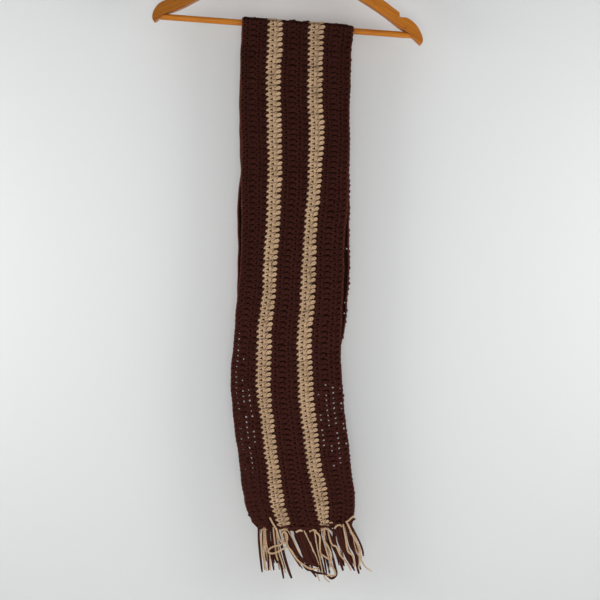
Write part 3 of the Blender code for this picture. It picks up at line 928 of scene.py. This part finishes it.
def worked_rows():
    """A tree that sets a stitch on every point of a row guide, turned and sized to the cloth there."""
    tree, given, out = new_group(
        "worked_rows",
        [
            ("Geometry", "INPUT", "Geometry", None),
            ("Open Stitch", "INPUT", "Object", None),
            ("Loop Stitch", "INPUT", "Object", None),
            ("Size", "INPUT", "Float", 1.0),
            ("Yarn", "INPUT", "Material", None),
            ("Geometry", "OUTPUT", "Geometry", None),
        ],
        "GeometryNodeTree",
    )

    def stored(name, kind):
        node = tree.nodes.new("GeometryNodeInputNamedAttribute")
        node.data_type = kind
        node.inputs["Name"].default_value = name
        return node.outputs["Attribute"]

    either = tree.nodes.new("GeometryNodeJoinGeometry")
    for label in ("Loop Stitch", "Open Stitch"):
        info = tree.nodes.new("GeometryNodeObjectInfo")
        tree.links.new(given.outputs[label], info.inputs["Object"])
        single = tree.nodes.new("GeometryNodeGeometryToInstance")
        tree.links.new(info.outputs["Geometry"], single.inputs[0])
        tree.links.new(single.outputs[0], either.inputs[0])
    turned = tree.nodes.new("FunctionNodeAxesToRotation")
    turned.primary_axis = "Z"
    turned.secondary_axis = "X"
    tree.links.new(stored("outward", "FLOAT_VECTOR"), turned.inputs[0])
    tree.links.new(stored("across", "FLOAT_VECTOR"), turned.inputs[1])
    grown = tree.nodes.new("ShaderNodeVectorMath")
    grown.operation = "SCALE"
    tree.links.new(stored("size", "FLOAT_VECTOR"), grown.inputs[0])
    tree.links.new(given.outputs["Size"], grown.inputs["Scale"])
    placed = tree.nodes.new("GeometryNodeInstanceOnPoints")
    tree.links.new(given.outputs["Geometry"], placed.inputs["Points"])
    tree.links.new(either.outputs[0], placed.inputs["Instance"])
    placed.inputs["Pick Instance"].default_value = True
    tree.links.new(stored("kind", "INT"), placed.inputs["Instance Index"])
    tree.links.new(turned.outputs[0], placed.inputs["Rotation"])
    tree.links.new(grown.outputs[0], placed.inputs["Scale"])
    last = placed.outputs[0]
    for name in ("outward", "across", "size", "kind"):
        gone = tree.nodes.new("GeometryNodeRemoveAttribute")
        gone.inputs["Name"].default_value = name
        tree.links.new(last, gone.inputs["Geometry"])
        last = gone.outputs[0]
    real = tree.nodes.new("GeometryNodeRealizeInstances")
    tree.links.new(last, real.inputs[0])
    dyed = tree.nodes.new("GeometryNodeSetMaterial")
    tree.links.new(real.outputs[0], dyed.inputs["Geometry"])
    tree.links.new(given.outputs["Yarn"], dyed.inputs["Material"])
    tree.links.new(dyed.outputs[0], out.inputs[0])
    return tree


def ply_twist():
    """Two plies twisted together and the fibres on them, read along and around the yarn."""
    group, given, out = new_group(
        "ply_twist",
        [
            ("Yarn", "INPUT", "Vector", None),
            ("Place", "INPUT", "Vector", None),
            ("Twist Length", "INPUT", "Float", 0.0065),
            ("Ply", "OUTPUT", "Float", None),
            ("Fibre", "OUTPUT", "Float", None),
            ("Height", "OUTPUT", "Float", None),
        ],
    )
    parts = group.nodes.new("ShaderNodeSeparateXYZ")
    group.links.new(given.outputs["Yarn"], parts.inputs[0])
    along = maths(group, "DIVIDE", parts.outputs[0], given.outputs["Twist Length"])
    along = maths(group, "MULTIPLY", along, 2.0)  # two plies, so the twist looks the same twice a turn
    around = maths(group, "MULTIPLY", parts.outputs[1], 2.0)
    wave = maths(group, "SINE", maths(group, "MULTIPLY", maths(group, "ADD", along, around), 2 * pi))
    ply = maths(group, "MULTIPLY_ADD", wave, 0.5, 0.5)
    fibre = noise(group, given.outputs["Place"], 1500.0, 3.0, 0.65)
    height = maths(group, "ADD", maths(group, "MULTIPLY", ply, 0.7), maths(group, "MULTIPLY", fibre, 0.5))
    group.links.new(ply, out.inputs["Ply"])
    group.links.new(fibre, out.inputs["Fibre"])
    group.links.new(height, out.inputs["Height"])
    return group


TWIST = ply_twist()
LIGHTENS_BETWEEN = (-0.35, -0.95)  # the heights between which the yarn gets lighter and lighter
HOLLOW_SHADE = 0.12  # how dark the painted shade makes the yarn deep between the strands, against its darker tone


def yarn_finish(name, deep, lit, sheen, sheen_tint, low_lift):
    """Soft spun yarn from its darker tone to its lighter one, lighter lower down, with painted shade between
    plies and strands.
    """
    made, tree, shader = new_finish(name, {
        "Roughness": 0.9,
        "Specular IOR Level": 0.06,
        "Sheen Weight": sheen,
        "Sheen Roughness": 0.45,
        "Sheen Tint": (*sheen_tint, 1.0),
    })
    lay = tree.nodes.new("ShaderNodeUVMap")
    lay.uv_map = "yarn"
    place = on_piece(tree)
    twist = tree.nodes.new("ShaderNodeGroup")
    twist.node_tree = TWIST
    tree.links.new(lay.outputs[0], twist.inputs["Yarn"])
    tree.links.new(place, twist.inputs["Place"])
    fibre = maths(tree, "MULTIPLY", twist.outputs["Fibre"], 0.6)
    # The plies' wave darkens the colour in the grooves between them: painted shade. The fibres and patches
    # vary its tone at random.
    ply = maths(tree, "MULTIPLY", twist.outputs["Ply"], 0.25)
    patch = maths(tree, "MULTIPLY", noise(tree, place, 55.0), 0.35)
    height = tree.nodes.new("ShaderNodeSeparateXYZ")
    tree.links.new(place, height.inputs[0])
    # The yarn gets lighter towards the scarf's lower part.
    lighter_low = spread(tree, height.outputs[2], 0.0, low_lift, *LIGHTENS_BETWEEN)
    share = maths(tree, "ADD", maths(tree, "ADD", maths(tree, "ADD", fibre, ply), patch), lighter_low)
    yarn = ramp(tree, share, [(0.35, deep), (0.85, lit)])
    # The yarn deep between the strands is painted darker: painted shade.
    painted_hollow_shade = maths(tree, "MULTIPLY", kept(tree, "sunk"), 0.9)
    shaded = blended(tree, painted_hollow_shade, yarn, (*darker(deep, HOLLOW_SHADE), 1.0))
    tree.links.new(shaded, shader.inputs["Base Color"])
    raised(tree, shader, twist.outputs["Height"], 0.7, 0.7 * MM)
    return made


YARNS = {
    "brown_yarn": yarn_finish("brown_yarn", BROWN, BROWN_LIT, 0.06, (0.5, 0.14, 0.10), 0.28),
    "tan_yarn": yarn_finish("tan_yarn", TAN, TAN_LIT, 0.08, (0.9, 0.7, 0.5), 0.0),
    "worn_edge": yarn_finish("worn_edge", EDGE_HIGHLIGHT_DEEP, EDGE_HIGHLIGHT_LIT, 0.1, (0.6, 0.2, 0.15), 0.0),
}
ROWS = worked_rows()
stitch_kinds = {
    "Open Stitch": strands("open_stitch", [in_mm(path) for path in OPEN_STITCH], STITCH_SIDES),
    "Loop Stitch": strands("loop_stitch", [in_mm(path) for path in LOOP_STITCH], STITCH_SIDES),
}
for stitch in stitch_kinds.values():
    keep_depth(stitch)
SOCKETS = {item.name: item.identifier for item in ROWS.interface.items_tree if item.in_out == "INPUT"}

# How unevenly a hand works: each stitch's usual error along its row and out from the cloth, how much
# it turns and tips, and its size, never off by more than twice the usual error.
OFF_ALONG = 0.25 * MM
OFF_OUT = 0.15 * MM
OFF_TURN = 0.045
OFF_TIP = 0.05
OFF_SIZE = 0.03

hand = np.random.default_rng(seed=17)
row_number = 0
for band in BANDS:
    wide = (band.end - band.start) / band.rows
    spots = []
    ways = []
    outs = []
    sizes = []
    kinds = []
    for row in range(band.rows):
        kind = row_number % 2
        row_number += 1
        along = np.arange(ROUND) + 0.5 - ROW_SHIFT * kind
        across = np.full(ROUND, band.start + wide * row)
        _, way, out, long = cloth_frame(across + wide / 2, along)
        spot, _, _, _ = cloth_frame(across, along)
        row_wide = np.linalg.norm(way, axis=1) * wide
        uneven = hand.normal(0, 1, (ROUND, 5))
        way = way / np.linalg.norm(way, axis=1)[:, None]
        lean = np.cross(out, way)
        spots.append(spot + lean * uneven[:, :1] * OFF_ALONG + out * uneven[:, 1:2] * OFF_OUT)
        ways.append(way + lean * uneven[:, 2:3] * OFF_TURN)
        outs.append(out + way * uneven[:, 3:4] * OFF_TIP)
        grow = 1.0 + np.clip(uneven[:, 4], -2, 2) * OFF_SIZE
        sizes.append(np.stack([row_wide / ROW * grow, long / STITCH * grow, grow], axis=1))
        kinds.append(np.full(ROUND, kind))
    guide = bpy.data.meshes.new(band.name + "_yarn")
    guide.from_pydata(np.concatenate(spots).tolist(), [], [])
    for label, values in (("across", ways), ("outward", outs), ("size", sizes)):
        stored = guide.attributes.new(label, "FLOAT_VECTOR", "POINT")
        stored.data.foreach_set("vector", np.concatenate(values).ravel())
    guide.attributes.new("kind", "INT", "POINT").data.foreach_set("value", np.concatenate(kinds))
    made = linked(band.name + "_yarn", guide)
    rows = made.modifiers.new("rows", "NODES")
    rows.node_group = ROWS
    for label, stitch in stitch_kinds.items():
        rows[SOCKETS[label]] = stitch
    rows[SOCKETS["Size"]] = 1.0
    rows[SOCKETS["Yarn"]] = YARNS[band.yarn]
    made = settled(made)
    made.data.polygons.foreach_set("use_smooth", [True] * len(made.data.polygons))
    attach(made, "root")
for stitch in stitch_kinds.values():
    bpy.data.objects.remove(stitch, do_unlink=True)

# Both long edges end in a chain of two strands that wind round each other once a stitch. Their yarn is
# painted lighter and redder than the rows: a painted highlight along the edges.
CHAIN_R = 0.75 * MM  # from the chain's middle to the middle of a strand
CHAIN_YARN_R = 1.3 * MM
for name, across in (("edge_left_yarn", 0.0078), ("edge_right_yarn", 0.9938)):
    along = np.arange(0.0, ROUND + 0.01, 0.25)
    spot, way, out, _ = cloth_frame(np.full(len(along), across), along)
    way = way / np.linalg.norm(way, axis=1)[:, None]
    plies = []
    for start in (0.0, pi):
        turn = along[:, None] * 2 * pi + start
        centre = spot + CHAIN_R * (np.cos(turn) * way + np.sin(turn) * out)
        plies.append(np.concatenate([centre, np.full((len(along), 1), CHAIN_YARN_R)], axis=1))
    edge = strands(name, plies, STITCH_SIDES)
    edge.data.materials.append(YARNS["worn_edge"])
    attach(edge, "root")

# ---------------------------------------------------------------------------------------------
# The fringe: at each end eight bundles of both yarns, folded in two and knotted through the last
# row, with a short loop across each knot. Years of wear have matted them, so no two strands fall
# alike. The front ones, laid one by one: the yarn, half its thickness, how far in front of the
# bar's axis it starts (mm), and the places it passes, across and below the hang point (mm).
FRONT_STRANDS = [
    ("b", 2, 4, [(-62, 1005), (-61.5, 1028), (-60, 1046), (-58, 1065), (-56, 1081)]),
    ("t", 1.3, 6.5, [(-56, 1005), (-58, 1028), (-57, 1042), (-54, 1059), (-51, 1075)]),
    ("t", 1.3, 7, [(-53, 1007), (-53, 1034), (-52, 1055), (-49, 1078)]),
    ("t", 1.2, 6, [(-57, 1007), (-57, 1030), (-55, 1052), (-52, 1077)]),
    ("t", 1.2, 5, [(-51, 1008), (-51, 1030), (-48, 1054), (-46, 1079)]),
    ("b", 1.8, 5, [(-50, 1007), (-47, 1039), (-46, 1059), (-45, 1077)]),
    ("t", 1, 6.5, [(-51, 1008), (-49, 1034), (-44, 1052), (-42, 1078)]),
    ("b", 1.8, 3.5, [(-49, 1008), (-43, 1042), (-40, 1059), (-37, 1078)]),
    ("t", 1.5, 6.5, [(-38, 1007), (-35, 1034), (-33, 1052), (-30, 1062)]),
    ("b", 2, 4, [(-42, 1008), (-38, 1039), (-32, 1052), (-25, 1071), (-21, 1091)]),
    ("t", 1.3, 5.5, [(-33, 1010), (-29, 1046), (-24, 1062), (-18, 1082)]),
    ("b", 2.2, 3, [(-46, 1008), (-44, 1030), (-38, 1050), (-31, 1066)]),
    ("b", 2.3, 2.5, [(-36, 1008), (-31, 1036), (-27, 1052), (-19, 1076)]),
    ("b", 2.4, 3.5, [(-32, 1010), (-22, 1046), (-18, 1062), (-13, 1078), (-8, 1091)]),
    ("b", 2.6, 4, [(-18, 1008), (-11, 1028), (-7, 1039), (1, 1052), (15, 1064), (34, 1071)]),
    ("t", 1.7, 6, [(-20, 1010), (-15, 1036), (-8, 1046), (0, 1059), (12, 1069), (24, 1075), (37, 1073)]),
    ("b", 2.2, 3, [(-21, 1009), (-13, 1036), (-5, 1052), (8, 1066), (18, 1070)]),
    ("b", 2.4, 2.5, [(-3, 1010), (6, 1034), (13, 1054), (19, 1066)]),
    ("b", 2.5, 3.5, [(-5, 1009), (7, 1034), (14, 1052), (21, 1068)]),
    ("b", 2.6, 3, [(4, 1010), (14, 1036), (21, 1052), (28, 1067)]),
    ("b", 2.3, 2.5, [(16, 1010), (27, 1036), (32, 1056), (36, 1076)]),
    ("b", 2.2, 5, [(-14, 1010), (-1, 1046), (15, 1074), (24, 1078), (32, 1088)]),
    ("t", 1, 7, [(-15, 1011), (-7, 1024), (0, 1039), (6, 1052)]),
    ("b", 2.7, 4, [(1, 1008), (12, 1034), (18, 1052), (24, 1066), (34, 1068)]),
    ("b", 2.6, 4.5, [(6, 1008), (18, 1034), (26, 1052), (32, 1066)]),
    ("t", 1.1, 7, [(11, 1010), (15, 1018), (24, 1037), (32, 1055), (37, 1069)]),
    ("b", 1.8, 3, [(-1, 1010), (6, 1036), (11, 1054), (20, 1070)]),
    ("t", 1.6, 6.5, [(24, 1010), (37, 1020), (38, 1034), (39, 1049), (46, 1055), (54, 1060)]),
    ("b", 2, 5, [(23, 1008), (34, 1034), (35, 1055), (40, 1080)]),
    ("b", 2.3, 3.5, [(32, 1008), (42, 1039), (49, 1052), (54, 1057)]),
    ("t", 1.1, 7, [(29, 1011), (34, 1041), (38, 1059), (43, 1082)]),
    ("b", 1.8, 4, [(27, 1008), (40, 1041), (45, 1059), (49, 1083)]),
    ("t", 1.6, 7, [(46, 1007), (45, 1028), (49, 1034), (56, 1049), (56, 1062), (53, 1077)]),
    ("t", 1.5, 6, [(50, 1008), (57, 1034), (65, 1039), (71, 1052), (81, 1064), (89, 1078)]),
    ("b", 2.4, 4.5, [(45, 1007), (57, 1024), (65, 1042), (71, 1062), (76, 1078)]),
    ("b", 2, 5.5, [(53, 1007), (65, 1020), (76, 1039), (81, 1055), (95, 1078)]),
    ("b", 2.1, 3.5, [
        (42, 1008), (50, 1036), (59, 1057), (63, 1073), (65, 1085), (57, 1091), (47, 1084), (32, 1082),
        (19, 1075),
    ]),
    ("t", 1.5, 5.5, [
        (43, 1010), (49, 1044), (56, 1066), (63, 1080), (61, 1086), (46, 1086), (48, 1092), (54, 1097),
    ]),
    ("t", 1.1, 2, [(37, 1011), (40, 1047), (37, 1070), (34, 1084), (38, 1096)]),
    ("b", 2.2, 2.5, [(49, 1008), (57, 1034), (68, 1056), (74, 1070)]),
    ("b", 2.3, 2.5, [(73, 1002), (77, 1024), (86, 1050), (94, 1068)]),
    ("b", 2.7, 4, [(63, 1002), (67, 1018), (71, 1034), (81, 1052), (93, 1075)]),
    ("b", 2.6, 5, [(68, 1002), (73, 1021), (80, 1042), (87, 1060), (90, 1070)]),
    ("t", 1.6, 7, [(76, 1002), (80, 1024), (84, 1046), (92, 1054), (95, 1071)]),
    ("b", 1.8, 3, [(61, 1003), (63, 1028), (68, 1047), (77, 1070)]),
    ("t", 1.6, 7.5, [(81, 997), (90, 1016), (96, 1029), (103, 1042), (103, 1062), (101, 1075)]),
    ("b", 1.7, 6, [(84, 995), (96, 1018), (104, 1034), (108, 1046), (109, 1054)]),
    ("b", 2.1, 4.5, [(81, 998), (87, 1034), (96, 1052), (99, 1071), (102, 1083)]),
    ("t", 1.1, 3, [(86, 1003), (97, 1044), (106, 1062), (113, 1073), (123, 1080)]),
    ("b", 2, 3, [(89, 1000), (92, 1036), (99, 1060), (105, 1077)]),
    ("b", 2, 1.5, [(20, 1009), (30, 1036), (38, 1056), (43, 1074), (46, 1087)]),
    ("b", 1.9, 1.5, [(35, 1009), (43, 1036), (48, 1056), (52, 1071), (54, 1084)]),
]
FRONT_LOOPS = [
    ("t", 1.2, 8.5, [(-59, 1012), (-54, 1010), (-48, 1011)]),
    ("b", 2, 7.5, [(-64, 1007), (-56, 1004), (-47, 1007)]),
    ("t", 1.5, 9, [(-26, 1012), (-20, 1010), (-14, 1012)]),
    ("b", 1.7, 9.5, [(-30, 1009), (-19, 1006), (-8, 1008)]),
    ("t", 1.8, 8.5, [(-1, 1015), (5, 1012), (10, 1013)]),
    ("b", 2, 7.5, [(-14, 1011), (-5, 1008), (4, 1011)]),
    ("t", 1.5, 8.5, [(21, 1014), (27, 1011), (33, 1013)]),
    ("b", 2, 7.5, [(9, 1012), (18, 1008), (26, 1012)]),
    ("t", 1.6, 9, [(40, 1013), (43, 1010), (48, 1009), (52, 1011)]),
    ("b", 1.7, 9.5, [(35, 1009), (44, 1005), (54, 1006)]),
    ("t", 1.6, 8.5, [(62, 1009), (65, 1005), (70, 1003), (74, 1006)]),
    ("b", 2, 6, [(53, 1007), (61, 1002), (71, 1004)]),
    ("t", 1.2, 8, [(54, 1000), (57, 999), (59, 1000)]),
    ("t", 1.5, 7.5, [(80, 999), (85, 996), (89, 992), (94, 988)]),
    ("b", 2.1, 6.5, [(81, 1002), (87, 998), (96, 993)]),
]

# The back ones hang in bundles: where a bundle is knotted in, how wide it spreads at the hem, how
# far its ends drift and fan out sideways (mm), how long it is (mm) and its yarns from left to right.
Bundle = namedtuple("Bundle", "across share drift fan long yarns")
BUNDLES = [
    Bundle(0.105, 0.070, 14.0, 3.5, 64.0, "bbtbt"),
    Bundle(0.185, 0.090, 18.0, 2.0, 70.0, "btbbb"),
    Bundle(0.305, 0.090, 30.0, -1.0, 66.0, "tbbtb"),
    Bundle(0.433, 0.090, 24.0, -3.0, 71.0, "bbtbb"),
    Bundle(0.550, 0.090, 20.0, -4.0, 69.0, "btbbt"),
    Bundle(0.685, 0.090, 12.0, 2.0, 72.0, "tbtbb"),
    Bundle(0.837, 0.090, 10.0, 1.5, 67.0, "bbtbb"),
    Bundle(0.940, 0.080, 13.0, 4.0, 65.0, "btbbt"),
]
STRAND_R = 1.6 * MM  # the usual strand behind
LOOP_R = 1.3 * MM  # a knot loop's yarn behind
THINS = 0.35  # how much of its thickness a strand loses at its cut end
WAVES = 1.2  # how far a strand waves as it hangs (mm)
BENDS = 3.5  # how far one behind bends to a side at most (mm)
SHORTER = 0.16  # and how much shorter than its bundle it is at most
BEHIND = [-0.6, 1.5]  # how far back the ends of the bundles hang, by turns (mm)
LOOP_HALF = (4.0, 5.2)  # the least and the greatest half width of a knot loop behind (mm)
FRINGE_SIDES = 6
DYES = {"b": "brown_yarn", "t": "tan_yarn"}


def thinned(path, radius):
    """A strand's path with its thickness, which falls off close to the cut end."""
    last = len(path) - 1
    return [(*spot, radius * (1.0 - THINS * (i / last) ** 8)) for i, spot in enumerate(path)]


def laid(row, hand):
    """One given strand: it thins to its cut end and never lies quite flat."""
    yarn, radius, forward, places = row
    wave = hand.uniform(0, 6.28)
    path = []
    for k, (x, drop) in enumerate(places):
        lift = forward + WAVES * sin(wave + 1.7 * k) * min(k, 2) / 2
        path.append((x * MM, -lift * MM, -drop * MM))
    return yarn, thinned(flowing(path, 4), radius * MM)


def hem_back(across):
    """The back hem's middle at a share of its width."""
    return fall_point("back", np.array([across]), np.array([1.0]))[0]


def back_bundle(row, number, hand):
    """The strands and the two knot loops of one bundle on the back fall."""
    made = []
    root = hem_back(row.across)
    behind = BEHIND[number % 2]
    for k, yarn in enumerate(row.yarns):
        start = hem_back(row.across + (k - 2) * row.share / 5)
        long = row.long * (1.0 - SHORTER * hand.random())
        bend = hand.uniform(-BENDS, BENDS)
        wave = hand.uniform(0, 6.28, 2)
        path = [root + (start - root) * 0.5 + np.array([0, 1.5, 2.5]) * MM]
        for step in range(1, 8):
            t = step / 7
            fan = row.fan * (k / 2 - 1) * t
            path.append(start + MM * np.array([
                row.drift * t ** 1.3 + fan + bend * sin(3.1 * t) + WAVES * t * sin(6.0 * t + wave[0]),
                0.8 + behind * t + 1.6 * t * sin(4.4 * t + wave[1]),
                -3.0 - long * t,
            ]))
        made.append((yarn, thinned(flowing(path, 2), STRAND_R * hand.uniform(0.75, 1.15))))
    for lift, yarn in ((0.5, "b"), (-1.8, "t")):
        half = hand.uniform(*LOOP_HALF) * MM
        loop = []
        for turn in np.linspace(0.2, pi - 0.2, 7):
            loop.append((
                root[0] - half * cos(turn) + 1.5 * MM * lift,
                root[1] + (1.0 + 3.0 * sin(turn)) * MM,
                root[2] + (lift + 1.2 * sin(turn)) * MM,
                LOOP_R,
            ))
        made.append((yarn, loop))
    return made


hand = np.random.default_rng(seed=5)
front_laid = [laid(row, hand) for row in FRONT_STRANDS + FRONT_LOOPS]
back_laid = []
for number, row in enumerate(BUNDLES):
    back_laid += back_bundle(row, number, hand)
for face, laid_paths in (("front", front_laid), ("back", back_laid)):
    for dye, label in (("b", "brown"), ("t", "tan")):
        paths = [path for yarn, path in laid_paths if yarn == dye]
        piece = strands("fringe_" + face + "_" + label, paths, FRINGE_SIDES)
        piece.data.materials.append(YARNS[DYES[dye]])
        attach(piece, "root")
    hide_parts("fringe_" + face)

# A tan yarn end was left loose on the front: it leaves the cloth at the left stripe, hangs over the
# hem and curls round twice. Each row is its place in millimetres, across, forward and down.
LOOSE_END_R = 1.5 * MM
LOOSE_END = [
    (-43.7, 7.5, 991.0), (-38.5, 11.0, 1000.0), (-33.4, 12.0, 1008.0), (-30.6, 11.5, 1016.5),
    (-28.0, 11.0, 1025.0), (-23.8, 11.0, 1031.0), (-17.6, 11.0, 1032.0), (-15.0, 10.5, 1026.5),
    (-16.0, 9.5, 1018.0), (-20.5, 8.5, 1014.0), (-23.5, 8.0, 1019.5), (-21.0, 8.5, 1028.0),
    (-25.0, 10.0, 1034.5), (-37.6, 12.0, 1037.5), (-44.7, 12.5, 1042.0), (-45.5, 12.0, 1046.5),
    (-39.5, 12.0, 1048.8), (-30.6, 12.0, 1046.0), (-22.0, 11.0, 1041.5), (-16.5, 9.5, 1038.0),
]
tail = [(x * MM, -y * MM, -z * MM, LOOSE_END_R) for x, y, z in flowing(LOOSE_END, 3)]
loose_end = strands("loose_yarn_end", [tail], 8)
loose_end.data.materials.append(YARNS["tan_yarn"])
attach(loose_end, "root")

# ---------------------------------------------------------------------------------------------
# The stage: a floor and a plain pale wall close behind. The wall can be seen through from its far
# side, and the lamp behind it lights the scarf's back.

WALL_Y = 0.075
FLOOR_Z = -1.6
ROOM_TOP = 3.0
ROOM_HALF = 4.0
ROOM_DEEP = 5.0


def plain(name, colour):
    return new_finish(name, {"Base Color": (*colour, 1.0), "Roughness": 0.9})


def slab(name, corners, look):
    mesh = bpy.data.meshes.new(name)
    mesh.from_pydata(corners, [], [(0, 1, 2, 3)])
    made = linked(name, mesh, False)
    mesh.materials.append(look)


wall_paint, tree, shader = plain("wall_paint", (0.78, 0.79, 0.785))
through = tree.nodes.new("ShaderNodeBsdfTransparent")
which = tree.nodes.new("ShaderNodeNewGeometry")
ray = tree.nodes.new("ShaderNodeLightPath")
mixed = tree.nodes.new("ShaderNodeMixShader")
clear = maths(tree, "MAXIMUM", which.outputs["Backfacing"], ray.outputs["Is Shadow Ray"])
tree.links.new(clear, mixed.inputs[0])
tree.links.new(shader.outputs[0], mixed.inputs[1])
tree.links.new(through.outputs[0], mixed.inputs[2])
tree.links.new(mixed.outputs[0], tree.nodes["Material Output"].inputs["Surface"])
wall_low = [(-ROOM_HALF, WALL_Y, FLOOR_Z), (ROOM_HALF, WALL_Y, FLOOR_Z)]
wall_high = [(ROOM_HALF, WALL_Y, ROOM_TOP), (-ROOM_HALF, WALL_Y, ROOM_TOP)]
slab("wall", wall_low + wall_high, wall_paint)

floor_paint, _, _ = plain("floor_paint", (0.72, 0.72, 0.71))
floor_near = [(-ROOM_HALF, -ROOM_DEEP, FLOOR_Z), (ROOM_HALF, -ROOM_DEEP, FLOOR_Z)]
floor_far = [(ROOM_HALF, ROOM_DEEP, FLOOR_Z), (-ROOM_HALF, ROOM_DEEP, FLOOR_Z)]
slab("floor", floor_near + floor_far, floor_paint)

world = bpy.data.worlds.new("room")
bpy.context.scene.world = world
world.use_nodes = True
sky = world.node_tree.nodes["Background"]
sky.inputs["Color"].default_value = (0.98, 0.99, 1.0, 1.0)
sky.inputs["Strength"].default_value = 0.37


def soft_light(name, place, aim, size, power):
    lamp = bpy.data.lights.new(name, "AREA")
    lamp.shape = "DISK"
    lamp.size = size
    lamp.energy = power
    made = bpy.data.objects.new(name, lamp)
    made.location = place
    made.rotation_euler = (Vector(aim) - Vector(place)).to_track_quat("-Z", "Y").to_euler()
    bpy.context.scene.collection.objects.link(made)


soft_light("window_left", (-0.98, -0.62, -0.53), (-0.25, 0.0, -0.5), 0.7, 4.9)
soft_light("window_right", (0.98, -0.62, -0.53), (0.25, 0.0, -0.5), 0.7, 4.8)
soft_light("room_front", (0.02, -2.2, -0.95), (0.0, 0.0, -0.7), 0.7, 8.0)
soft_light("floor_glow", (0.0, -0.75, -1.5), (0.0, -0.1, -0.2), 0.9, 1.4)
soft_light("back_fill", (0.9, 2.6, -0.3), (0.0, 0.0, -0.6), 1.6, 30.0)
bpy.context.scene.view_settings.view_transform = "Standard"

# The camera stands level with the middle of the scarf and takes in 978 mm at the front fall.
FRONT_FACE = 7.5 * MM  # how far the front fall's face is in front of the bar's axis
CAMERA_AWAY = 1.9
SEEN = 0.978
SEEN_MIDDLE = (5.7 * MM, -636.5 * MM)  # the middle of the view, across and up from the hang point
FILM = 36.0  # mm
camera = bpy.data.cameras.new("camera")
camera.sensor_width = FILM
camera.lens = FILM * CAMERA_AWAY / SEEN
camera.clip_start = 0.05
viewer = bpy.data.objects.new("camera", camera)
viewer.location = (SEEN_MIDDLE[0], -CAMERA_AWAY - FRONT_FACE, SEEN_MIDDLE[1])
viewer.rotation_euler = (pi / 2, 0.0, 0.0)
bpy.context.scene.collection.objects.link(viewer)
bpy.context.scene.camera = viewer
